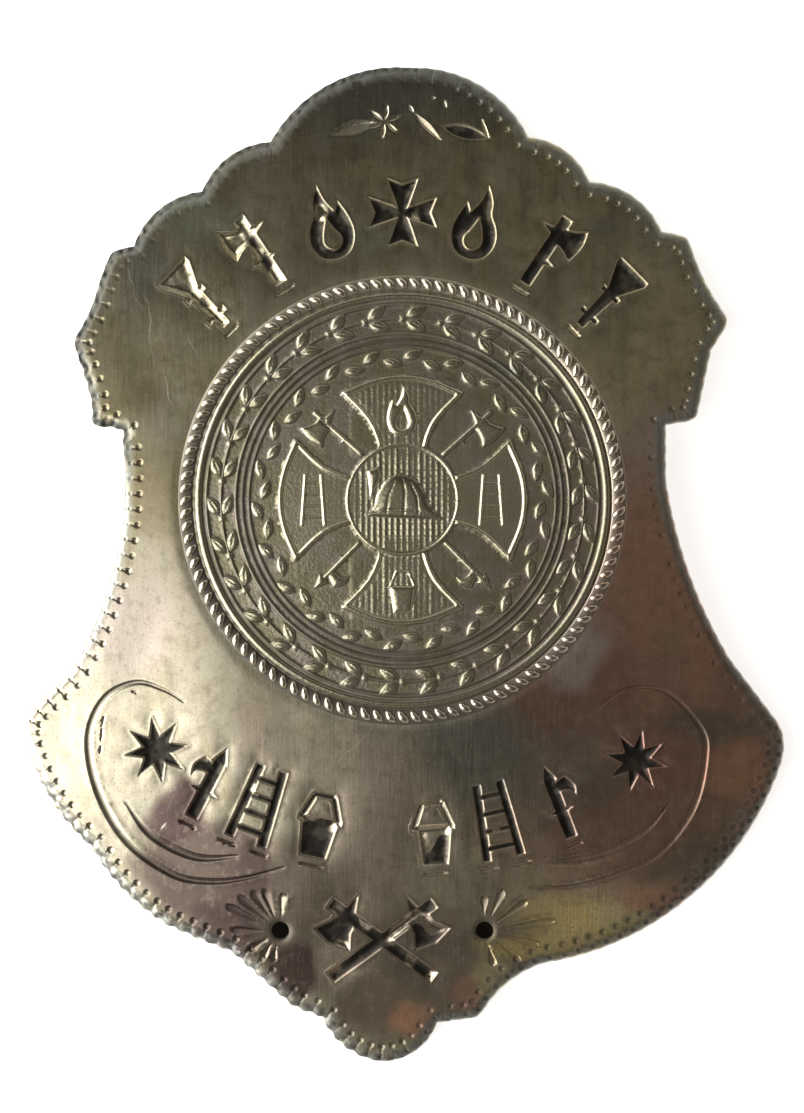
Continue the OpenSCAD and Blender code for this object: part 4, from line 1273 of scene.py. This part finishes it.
def makePlate():
    loops = [edgeLine] + [holeLoop(middle, holes["diameter"] / 2) for middle in holeMiddles]
    points = platePoints()
    flat, faces, number = triangulate(loops, points)
    height, dirtAndShade, rim = plateRelief(flat)
    front = np.column_stack([flat, frontLevel(flat) + height])
    rough, ignored = latticePoints(-plateHalf, plateHalf, plate["backStep"])
    rough = rough[insideShape(rough, edgeLine)]
    rough = rough[edgeDistance(rough) > 0.7]
    for middle in holeMiddles:
        rough = rough[np.linalg.norm(rough - middle, axis=1) > holes["diameter"] / 2 + 0.4]
    rows = edgeRows(edgeLine, (0.05, plate["backRound"], 0.4))
    under = thinOut(np.concatenate([rows, rough]), 0.03)
    flatBack, backFaces, backNumber = triangulate(loops, under)
    back = np.column_stack([flatBack, backLevel(flatBack) + backRelief(flatBack)])
    marked = [(loop, i == 0) for i, loop in enumerate(loops)]
    places, allFaces = closedSheet(front, faces, number, back, backFaces, backNumber, marked)
    piece = addPiece("badgePlate", places, allFaces, plateMetal, "badge_plate")
    addMask(piece, "hollow", np.concatenate([dirtAndShade, np.zeros(len(back)) + 0.15]))
    addMask(piece, "rim", np.concatenate([rim, np.zeros(len(back)) + 0.5]))
    return piece


badgePlate = makePlate()
print("plate:", len(badgePlate.data.polygons), "faces")

# The seal
band = {
    "repeats": 30, "splay": 28, "leafStart": 0.12, "leafLong": 0.8, "leafWide": 0.42, "berry": 0.26,
    "stem": 0.14, "stemTall": 0.07
}
field = {
    "rim": 0.86, "armMiddle": 0.58, "boss": 0.37, "emblem": 0.34, "toolMiddle": 0.6, "tool": 0.43,
    "helmet": 0.52, "stroke": 1.6, "wreathLeaves": 44, "wreathSplay": 22, "wreathMiddle": 0.92,
    "leafLong": 0.14, "leafWide": 0.07, "helmetTall": 0.16, "hatchPitch": 0.37, "hatchTall": 0.045,
    "hatchHalf": 0.13, "vein": 0.04, "veinHalf": 0.06
}
crossArm = [
    (0.13, 0.24), (0.2, 0.5), (0.4, 0.7), (0.2, 0.79), (0, 0.82),
    (-0.2, 0.79), (-0.4, 0.7), (-0.2, 0.5), (-0.13, 0.24)
]
helmetShell = [
    (-0.5, -0.2), (-0.36, -0.1), (-0.33, 0.06), (-0.22, 0.26), (-0.02, 0.34), (0.18, 0.26),
    (0.29, 0.08), (0.33, -0.08), (0.54, -0.26), (0.3, -0.24), (-0.2, -0.22)
]
helmetFront = [(-0.4, 0), (-0.44, 0.36), (-0.3, 0.42), (-0.27, 0.3)]
helmetRidges = [
    [(-0.2, -0.14), (-0.17, 0.06), (-0.1, 0.22)], [(0.02, -0.16), (0.03, 0.1), (0, 0.26)],
    [(0.2, -0.16), (0.18, 0.04), (0.1, 0.2)], [(-0.42, -0.15), (-0.1, -0.12), (0.2, -0.14), (0.46, -0.22)]
]
leafEdge = [(0, 0), (0.38, 0.25), (0.5, 0.5), (0.3, 0.8), (0, 1)]


def leafShape(long, wide):
    right = np.array([(x * wide, y * long) for x, y in leafEdge])
    left = np.array([(-x * wide, y * long) for x, y in leafEdge[-2:0:-1]])
    return np.concatenate([right, left])


def discShape(middle, radius, count):
    return holeLoop(np.array(middle), radius, count)


def armShapes(turn):
    # the edge of one arm of the cross, and the edge of its flat middle
    arm = softened(np.array(crossArm) * fieldRadius)
    middle = (0, fieldRadius * field["armMiddle"])
    return turned(arm, turn), turned((arm - middle) * field["rim"] + middle, turn)


def sealRaised():
    # every raised form round the seal's middle: its feature, ground, height and softness
    found = []
    veins = []
    middle = (bandOuter + bandInner) / 2
    wide = seal["bandWidth"]
    for i in range(band["repeats"]):
        spin = i * 360 / band["repeats"]
        for side in (-1, 1):
            def place(s):
                s = s + (0, wide * band["leafStart"])
                return turned(turned(s, -90 + side * band["splay"]) + (0, middle), spin)
            long = wide * band["leafLong"]
            found.append((Feature([place(leafShape(long, wide * band["leafWide"]))]), 0, seal["low"], 0.1))
            veins.append(place(np.array([(0, long * 0.12), (0, long * 0.8)])))
        berry = turned(discShape((0, middle), wide * band["berry"] / 2, 10), spin)
        found.append((Feature([berry]), 0, seal["low"], 0.12))
    boss = discShape((0, 0), fieldRadius * field["boss"] + 0.02, 60)
    raisedMore = seal["high"] - seal["ground"]
    for a in (0, 90, 180, 270):
        arm, inner = armShapes(a)
        found.append((Feature([arm]), 0, seal["ground"], 0.08))
        found.append((Feature([arm], [inner, boss]), seal["ground"], raisedMore, 0.09))
    for i in range(field["wreathLeaves"]):
        def place(s):
            s = turned(s, -90 + (1 if i % 2 == 0 else -1) * field["wreathSplay"])
            return turned(s + (0, fieldRadius * field["wreathMiddle"]), i * 360 / field["wreathLeaves"])
        long = fieldRadius * field["leafLong"]
        leaf = place(leafShape(long, fieldRadius * field["leafWide"]))
        found.append((Feature([leaf]), 0, seal["low"], 0.1))
        veins.append(place(np.array([(0, long * 0.12), (0, long * 0.8)])))
    helmet = fieldRadius * field["helmet"]
    shell = softened(np.array(helmetShell) * helmet)
    found.append((Feature([shell]), seal["ground"], field["helmetTall"], 0.3))
    found.append((Feature([np.array(helmetFront) * helmet]), seal["ground"], raisedMore, 0.1))
    for ridge in helmetRidges:
        veins.append(np.array(ridge) * helmet)
    emblem, tool = field["emblem"], field["tool"]
    for kind, spin, size, turns in (
            ("flame", 0, emblem, False), ("ladder", 90, emblem, False), ("bucket", 180, emblem, False),
            ("ladder", 270, emblem, False), ("axe", 45, tool, True), ("axe", -45, tool, True),
            ("hook", 135, tool, True), ("hook", -135, tool, True)):
        solid, left = toolShapes(kind, fieldRadius * size, seal["line"] * field["stroke"])
        far = fieldRadius * (field["toolMiddle"] if turns else field["armMiddle"])

        def place(s):
            s = mirrored(s, -1 if spin > 0 else 1)
            s = turned(s, 0 if turns else -spin)
            return turned(s + (0, far), spin)
        ground = 0 if turns else seal["ground"]
        form = Feature([place(s) for s in solid], [place(s) for s in left])
        found.append((form, ground, raisedMore, 0.07))
    return found, veins


sealForms, sealVeins = sealRaised()
# Radius, width and height of each ring
sealRings = [
    (mouldingRadius, seal["mouldingWidth"], 0.13), (bandOuter, seal["line"], 0.06),
    (bandInner, seal["line"], 0.07), (bandInner - 2 * seal["line"], seal["line"], 0.04),
    (fieldRadius, seal["line"], 0.05), (fieldRadius * field["boss"] - seal["line"] / 2, seal["line"], 0.19),
    ((bandOuter + bandInner) / 2, band["stem"], band["stemTall"])
]


def hatchHeight(points, inside):
    # upright lines side by side
    beside = np.abs((points[:, 0] / field["hatchPitch"] + 0.5) % 1 - 0.5) * field["hatchPitch"]
    uneven = 0.75 + 0.35 * softNoise(points * (3, 0.4), 1.6, 7)
    return field["hatchTall"] * np.clip(1 - beside / field["hatchHalf"], 0, 1) * uneven * inside


# The flat middles of the upper and the lower arm, which are hatched
sealArms = [Feature([armShapes(turn)[1]]) for turn in (0, 180)]


def sealRelief(points):
    # height over the dome, dirt and painted shade, and how far up each point stands, round the seal's middle
    far = np.linalg.norm(points, axis=1)
    height = np.zeros(len(points)) - 0.015
    nearest = np.full(len(points), 9.0)
    inBoss = far < fieldRadius * field["boss"]
    height[inBoss] += seal["ground"]
    for radius, width, tall in sealRings:
        gap = np.abs(far - radius)
        share = np.clip(1 - (gap / (width / 2)) ** 2, 0, 1)
        height = np.maximum(height, (tall + 0.015) * share ** 0.8 - 0.015)
        nearest = np.minimum(nearest, gap - width / 2)
    height += hatchHeight(points, softStep(-far, -fieldRadius * field["boss"] + seal["line"], 0.15
                                           - fieldRadius * field["boss"] + seal["line"]) * inBoss)
    for arm in sealArms:
        close = np.flatnonzero(arm.near(points, 0) & ~inBoss)
        inside = softStep(-arm.distance(points[close]), 0.06, 0.2)
        height[close] = np.maximum(height[close], seal["ground"] * (inside > 0)
                                   + 0.7 * hatchHeight(points[close], inside))
    for form, ground, tall, soft in sealForms:
        close = np.flatnonzero(form.near(points, 0.4))
        d = form.distance(points[close])
        top = ground + tall * (1 - np.exp(np.minimum(d, 0) / soft))
        height[close] = np.maximum(height[close], np.where(d < 0, top, -1))
        nearest[close] = np.minimum(nearest[close], np.abs(d))
    for line in sealVeins:
        close = np.flatnonzero(((points > line.min(0) - 0.3) & (points < line.max(0) + 0.3)).all(1))
        d = segmentDistance(points[close], line[:-1], line[1:])[0]
        height[close] -= field["vein"] * np.exp(-(d / field["veinHalf"]) ** 2)
    # dirt and painted shade on the low ground beside raised forms and rings
    dirtAndShade = 0.85 * np.exp(-np.maximum(nearest, 0) / 0.1) * softStep(-height, -0.12, -0.02)
    above = softStep(height, 0.03, 0.1)
    return height, dirtAndShade, above


def sealPoints():
    rows = []
    for radius, width, tall in sealRings:
        for share in (-1.25, -1, -0.8, -0.4, 0, 0.4, 0.8, 1, 1.25):
            at = radius + share * width / 2
            if at < seal["rimRadius"] - 0.03:
                rows.append(discShape((0, 0), at, round(2 * math.pi * at / 0.15)))
    for form, ground, tall, soft in sealForms:
        rows.append(form.rows((0.05, 0, -0.035, -0.08, -0.15), 0.12))
    for line in sealVeins:
        path = evenLine(line, 0.15)
        along = np.gradient(path, axis=0)
        side = np.stack([-along[:, 1], along[:, 0]], 1) / np.linalg.norm(along, axis=1)[:, None]
        rows += [path, path + side * 0.07, path - side * 0.07]
    half = fieldRadius * field["boss"]
    upright = np.arange(-half, half, 0.2)
    for k in range(-int(half / field["hatchPitch"]), int(half / field["hatchPitch"]) + 1):
        for beside in (-0.13, -0.065, 0, 0.065, 0.13):
            line = np.column_stack([np.full(len(upright), k * field["hatchPitch"] + beside), upright])
            rows.append(line[np.linalg.norm(line, axis=1) < half - seal["line"]])
    for arm in sealArms:
        run = np.arange(arm.low[1], arm.high[1], 0.22)
        for k in range(int(arm.low[0] / field["hatchPitch"]), int(arm.high[0] / field["hatchPitch"]) + 1):
            for beside in (-0.12, 0, 0.12):
                line = np.column_stack([np.full(len(run), k * field["hatchPitch"] + beside), run])
                rows.append(line[(arm.distance(line) < -0.05) & (np.linalg.norm(line, axis=1) > half)])
    rows = thinOut(np.concatenate(rows), 0.03)
    far = seal["rimRadius"]
    lattice, ignored = latticePoints((-far, -far), (far, far), 0.15)
    lattice = lattice[np.linalg.norm(lattice, axis=1) < far - 0.08]
    lattice = lattice[farFrom(lattice, rows, 0.07)]
    return np.concatenate([rows, lattice])


def makeSeal():
    loop = discShape((0, 0), seal["rimRadius"], 560)[::-1]
    flat, faces, number = triangulate([loop], sealPoints())
    height, dirtAndShade, above = sealRelief(flat)
    flat = flat + sealMiddle
    front = np.column_stack([flat, frontLevel(flat) + height])
    spread, ignored = latticePoints((-13, -13), (13, 13), 1.2)
    spread = spread[np.linalg.norm(spread, axis=1) < 12.6]
    flatBack, backFaces, backNumber = triangulate([loop], spread)
    flatBack = flatBack + sealMiddle
    back = np.column_stack([flatBack, frontLevel(flatBack) - 0.17])
    places, allFaces = closedSheet(front, faces, number, back, backFaces, backNumber, [(loop, True)])
    piece = addPiece("sealFace", places, allFaces, sealMetal, "badge_plate")
    addMask(piece, "hollow", np.concatenate([dirtAndShade, np.zeros(len(back))]))
    addMask(piece, "raised", np.concatenate([above, np.zeros(len(back))]))
    return piece


sealFace = makeSeal()
print("seal:", len(sealFace.data.polygons), "faces")

# The rope round the seal
rope = {"slant": -48, "long": 1.15, "thick": 0.66, "tall": 0.27, "lift": 0.03, "bend": 0.12, "bedTall": 0.12}


def makeStrand():
    # one strand, modelled once
    bpy.ops.mesh.primitive_uv_sphere_add(segments=10, ring_count=6, radius=1)
    strand = bpy.context.object
    mesh = strand.data
    places = np.array([v.co[:] for v in mesh.vertices])
    faces = [tuple(p.vertices) for p in mesh.polygons]
    bpy.data.objects.remove(strand)
    pitch = 2 * math.pi * seal["ropeRadius"] / seal["strands"]
    # the sphere's poles become the strand's two ends
    long = places[:, 2] * seal["ropeWidth"] * rope["long"] / 2
    wide = places[:, 0] * pitch * rope["thick"] / 2
    wide += rope["bend"] * (long / (seal["ropeWidth"] / 2)) ** 2 * 0.5
    tall = places[:, 1] * rope["tall"]
    return np.column_stack([long, -wide, tall]), faces


def makeRope():
    strand, strandFaces = makeStrand()
    places = []
    faces = []
    dirtAndShade = []
    for i in range(seal["strands"]):
        wobble = 1 + 0.05 * math.sin(i * 4.1)
        flat = turned(strand[:, :2] * wobble, rope["slant"]) + (0, seal["ropeRadius"])
        flat = turned(flat, i * 360 / seal["strands"]) + sealMiddle
        shift = sum(len(p) for p in places)
        places.append(np.column_stack([flat, frontLevel(flat) + rope["lift"] + strand[:, 2]]))
        faces += [tuple(k + shift for k in f) for f in strandFaces]
        # the strands' low parts are dark with dirt and painted shade in the crevices, less towards the upper
        # right
        lit = 0.5 + 0.5 * math.cos(math.radians(i * 360 / seal["strands"] + 45))
        dirtAndShade.append(softStep(-strand[:, 2], -0.14, 0.0) * (0.85 - 0.6 * lit))
    # the low bed that the strands stand in
    around = 324
    profile = []
    for k in range(9):
        a = math.pi * k / 8
        middle = (seal["bedOuter"] + seal["bedInner"]) / 2
        half = (seal["bedOuter"] - seal["bedInner"]) / 2
        profile.append((middle - half * math.cos(a), rope["bedTall"] * math.sin(a) - 0.05))
    profile += [(seal["bedOuter"], -0.3), (seal["bedInner"], -0.3)]
    shift = sum(len(p) for p in places)
    for k in range(around):
        a = 2 * math.pi * k / around
        for radius, tall in profile:
            spot = np.array([[radius * math.cos(a), radius * math.sin(a)]]) + sealMiddle
            places.append(np.array([[spot[0, 0], spot[0, 1], frontLevel(spot)[0] + tall]]))
    count = len(profile)
    for k in range(around):
        for j in range(count):
            a = shift + k * count + j
            b = shift + k * count + (j + 1) % count
            c = shift + (k + 1) % around * count + (j + 1) % count
            d = shift + (k + 1) % around * count + j
            faces.append((a, b, c, d))
    # the bed is dark with dirt and painted shade too, less towards the upper right
    turns = 2 * math.pi * np.repeat(np.arange(around), count) / around
    dirtAndShade.append(0.85 - 0.6 * (0.5 + 0.5 * np.cos(turns - math.pi / 4)))
    piece = addPiece("ropeRing", np.concatenate(places), faces, ropeMetal, "badge_plate")
    addMask(piece, "hollow", np.concatenate(dirtAndShade))
    return piece


ropeRing = makeRope()
print("rope:", len(ropeRing.data.polygons), "faces")

# The pin on the back
pin = {
    "span": 23, "up": 6, "stem": 1.1, "footWide": 3.2, "footLong": 4.6, "seatGap": 0.1, "stemUp": 0.35,
    "point": 1.6, "plateThick": 0.5, "earThick": 0.6, "knuckle": 0.895, "knuckleLong": 2.2, "rivet": 0.36,
    "curl": 0.895, "curlThick": 0.3, "curlLong": 2.4, "openFrom": 20, "openTo": 100
}


def finishPiece(piece, name, material, node, angle=40):
    bpy.ops.object.transform_apply(location=True, rotation=True, scale=True)
    bpy.ops.object.shade_smooth_by_angle(angle=math.radians(angle))
    piece.name = name
    piece.data.name = name
    piece.data.materials.clear()
    piece.data.materials.append(material)
    addTarnishAndGleams(piece)
    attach(piece, "root")
    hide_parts(node)
    return piece


def useModifier(piece, name, kind, **settings):
    modifier = piece.modifiers.new(name, kind)
    for key, value in settings.items():
        setattr(modifier, key, value)
    bpy.ops.object.modifier_apply(modifier=name)


def underSide(x, y):
    return float(backLevel(np.array([[x, y]]))[0])


def addBlock(x, y, low, high, wide, long, edge=0.12):
    bpy.ops.object.select_all(action="DESELECT")
    bpy.ops.mesh.primitive_cube_add(size=1, location=Vector((x, y, (low + high) / 2)) * metre)
    block = bpy.context.object
    block.scale = Vector((wide, long, high - low)) * metre
    bpy.ops.object.transform_apply(location=True, rotation=True, scale=True)
    useModifier(block, "edges", "BEVEL", width=edge * metre, segments=2)
    return block


def addRod(x, y, z, radius, long, turn, fill="NGON"):
    bpy.ops.object.select_all(action="DESELECT")
    bpy.ops.mesh.primitive_cylinder_add(
        vertices=36, radius=radius * metre, depth=long * metre, end_fill_type=fill,
        location=Vector((x, y, z)) * metre, rotation=turn)
    rod = bpy.context.object
    bpy.ops.object.transform_apply(location=True, rotation=True, scale=True)
    return rod


def joinParts(parts):
    bpy.ops.object.select_all(action="DESELECT")
    for part in parts:
        part.select_set(True)
    bpy.context.view_layer.objects.active = parts[0]
    bpy.ops.object.join()
    return bpy.context.object


def footTop(x):
    return underSide(abs(x) + pin["footWide"] / 2, pin["up"] + pin["footLong"] / 2) - pin["seatGap"]


def makeHinge():
    # a plate under the dome, two ears, and a knuckle that the stem is rolled round
    x = -pin["span"] / 2
    top = footTop(x)
    middle = pin["stemUp"] + pin["stem"] / 2
    parts = [addBlock(x, pin["up"], top - pin["plateThick"], top, pin["footWide"], pin["footLong"])]
    for side in (-1, 1):
        y = pin["up"] + side * (pin["knuckleLong"] + pin["earThick"] + 0.1) / 2
        earTop = top - pin["plateThick"] / 2
        parts.append(addBlock(x, y, middle, earTop, pin["knuckle"] * 2, pin["earThick"]))
        parts.append(addRod(x, y, middle, pin["knuckle"], pin["earThick"], (math.pi / 2, 0, 0)))
    parts.append(addRod(x, pin["up"], middle, pin["knuckle"], pin["knuckleLong"], (math.pi / 2, 0, 0)))
    parts.append(addRod(x, pin["up"], middle, pin["rivet"], pin["footLong"] * 0.85, (math.pi / 2, 0, 0)))
    return finishPiece(joinParts(parts), "pinHinge", pinMetal, "pin_back")


def makeCatch():
    # a plate under the dome, a neck, and a strip curled round the stem's end
    x = pin["span"] / 2
    top = footTop(x)
    middle = pin["stemUp"] + pin["stem"] / 2
    foot = addBlock(x, pin["up"], top - pin["plateThick"], top, pin["footWide"], pin["footLong"])
    neckY = pin["up"] - pin["curl"] + pin["curlThick"] / 2
    neck = addBlock(x, neckY, middle, top - pin["plateThick"] / 2, pin["curlLong"], pin["curlThick"], 0.06)
    curl = addRod(x, pin["up"], middle, pin["curl"], pin["curlLong"], (0, math.pi / 2, 0), "NOTHING")
    for face in curl.data.polygons:
        gap = face.center / metre - Vector((x, pin["up"], middle))
        turn = math.degrees(math.atan2(gap.z, gap.y))
        face.select = pin["openFrom"] < turn < pin["openTo"]
    bpy.ops.object.mode_set(mode="EDIT")
    bpy.ops.mesh.delete(type="FACE")
    bpy.ops.object.mode_set(mode="OBJECT")
    useModifier(curl, "wall", "SOLIDIFY", thickness=pin["curlThick"] * metre, offset=-1)
    return finishPiece(joinParts([foot, neck, curl]), "pinCatch", pinMetal, "pin_back")


def makeStem():
    bpy.ops.object.select_all(action="DESELECT")
    height = pin["stemUp"] + pin["stem"] / 2
    long = pin["span"] + pin["footWide"] / 2
    middle = Vector((-pin["span"] / 2 + long / 2, pin["up"], height)) * metre
    bpy.ops.mesh.primitive_cylinder_add(
        vertices=32, radius=pin["stem"] / 2 * metre, depth=long * metre, location=middle,
        rotation=(0, math.pi / 2, 0))
    stem = bpy.context.object
    bpy.ops.object.transform_apply(location=True, rotation=True, scale=True)
    bpy.ops.object.mode_set(mode="EDIT")
    bpy.ops.mesh.select_all(action="DESELECT")
    bpy.ops.object.mode_set(mode="OBJECT")
    end = (pin["span"] / 2 + pin["footWide"] / 2) * metre
    for face in stem.data.polygons:
        face.select = face.center.x > end - 0.01 * metre and abs(face.normal.x) > 0.9
    bpy.ops.object.mode_set(mode="EDIT")
    for share in (0.45, 0.55):
        bpy.ops.mesh.extrude_region_move(
            TRANSFORM_OT_translate={"value": (pin["point"] * share * metre, 0, 0)})
        bpy.ops.transform.resize(value=(1, 0.6, 0.6),
                                 center_override=(end, pin["up"] * metre, height * metre))
    bpy.ops.object.mode_set(mode="OBJECT")
    return finishPiece(stem, "pinStem", pinMetal, "pin_back")


pinHinge = makeHinge()
pinCatch = makeCatch()
pinStem = makeStem()
print("pin ready")

# Floor and light
paper = {
    "size": 1.6, "rough": 0.9, "colour": (0.93, 0.93, 0.92), "glow": 0.72,
    "shade": (0.012, 0.008, 0.006), "shadeWide": 8.8, "shadeTall": 2.8
}


def makeFloor():
    bpy.ops.mesh.primitive_plane_add(size=paper["size"])
    sheet = bpy.context.object
    sheet.name = "floor"
    material = bpy.data.materials.new("palePaper")
    material.use_nodes = True
    tree = material.node_tree
    shader = tree.nodes["Principled BSDF"]
    shader.inputs["Roughness"].default_value = paper["rough"]
    shader.inputs["Emission Color"].default_value = (1, 1, 1, 1)
    # the paper glows a little, so that shadows stay pale, but not under the holes, where it is painted
    # near-black: a painted shadow that shows through the holes
    place = addNode(tree, "ShaderNodeTexCoord").outputs["Object"]
    fromHoles = spotDistance(tree, place, (holes["across"] * metre, holes["up"] * metre, 0),
                             (paper["shadeWide"] * metre, paper["shadeTall"] * metre, 1))
    glow = addRange(tree, fromHoles, 0.9, 1.0, 0, paper["glow"])
    tree.links.new(glow, shader.inputs["Emission Strength"])
    colour = addMix(tree, addRange(tree, fromHoles, 0.9, 1.0), paper["shade"], paper["colour"])
    tree.links.new(colour, shader.inputs["Base Color"])
    sheet.data.materials.append(material)
    return sheet


floor = makeFloor()

# What the badge mirrors: a dark ceiling with soft glows, and brighter walls, most of all at the left.
# Across, up and reach for one unit of height, colour and strength
room = {
    "ceiling": (0.068, 0.066, 0.058),
    "glows": [
        (-0.42, -0.17, 0.30, 0.35, (1.0, 0.965, 0.92), 3.1),
        (-0.32, 0.16, 0.36, 0.30, (1.0, 0.97, 0.84), 0.10),
        (0.05, 0.19, 0.36, 0.22, (1.0, 0.96, 0.84), 0.055),
        (-0.03, -0.22, 0.07, 0.16, (1.0, 0.96, 0.92), 0.12),
        (0.25, -0.02, 0.20, 0.32, (1.0, 0.86, 0.76), 0.115),
        (0.0, -0.46, 0.25, 0.18, (1.0, 0.92, 0.80), 0.18),
        (0.18, -0.312, 0.11, 0.055, (1.0, 0.96, 0.80), 0.34),
        (-0.02, 0.05, 0.20, 0.20, (1.0, 0.96, 0.88), 0.085),
        (-0.003, -0.395, 0.03, 0.03, (1.0, 0.78, 0.50), 0.3),
        (0.15, -0.308, 0.05, 0.03, (1.0, 0.96, 0.74), 0.4)
    ],
    "leftWall": (5.2, 5.1, 5.0), "rightWall": (0.26, 0.22, 0.19), "topWall": (0.16, 0.17, 0.16),
    "seen": (0.9, 0.9, 0.9)
}


def makeRoom():
    world = bpy.data.worlds.new("room")
    bpy.context.scene.world = world
    world.use_nodes = True
    tree = world.node_tree
    background = tree.nodes["Background"]
    direction = addNode(tree, "ShaderNodeTexCoord").outputs["Generated"]
    tall = addNode(tree, "ShaderNodeSeparateXYZ", {0: direction}).outputs[2]
    stretch = addMath(tree, "DIVIDE", 1.0, addMath(tree, "MAXIMUM", tall, 0.05))
    ceiling = addVector(tree, "SCALE", {0: direction, 3: stretch})

    def add(total, colour, share):
        glow = addVector(tree, "SCALE", {0: colour, 3: share})
        return addVector(tree, "ADD", {0: total, 1: glow})

    total = room["ceiling"]
    for across, up, reachX, reachY, colour, strength in room["glows"]:
        far = spotDistance(tree, ceiling, (across, up, 1), (reachX, reachY, 1))
        total = add(total, colour, addRange(tree, far, 0, 1.3, strength, 0))
    level = addVector(tree, "MULTIPLY", {0: direction, 1: (1, 1, 0)})
    level = addVector(tree, "NORMALIZE", {0: level})
    split = addNode(tree, "ShaderNodeSeparateXYZ", {0: level})
    low = addRange(tree, tall, 0.8, 0.5, 0, 1)
    early = addRange(tree, tall, 0.88, 0.6, 0, 1)
    left = addMath(tree, "MULTIPLY", early, addRange(tree, split.outputs[0], -0.5, -0.95, 0, 1))
    top = addMath(tree, "MULTIPLY", low, addRange(tree, split.outputs[1], 0.2, 0.9, 0, 1))
    total = add(total, room["leftWall"], left)
    total = add(total, room["rightWall"], low)
    total = add(total, room["topWall"], top)
    seen = addNode(tree, "ShaderNodeLightPath").outputs["Is Camera Ray"]
    tree.links.new(addMix(tree, seen, total, room["seen"]), background.inputs["Color"])
    background.inputs["Strength"].default_value = 1


makeRoom()
bpy.context.scene.view_settings.view_transform = "Standard"
print("room ready")
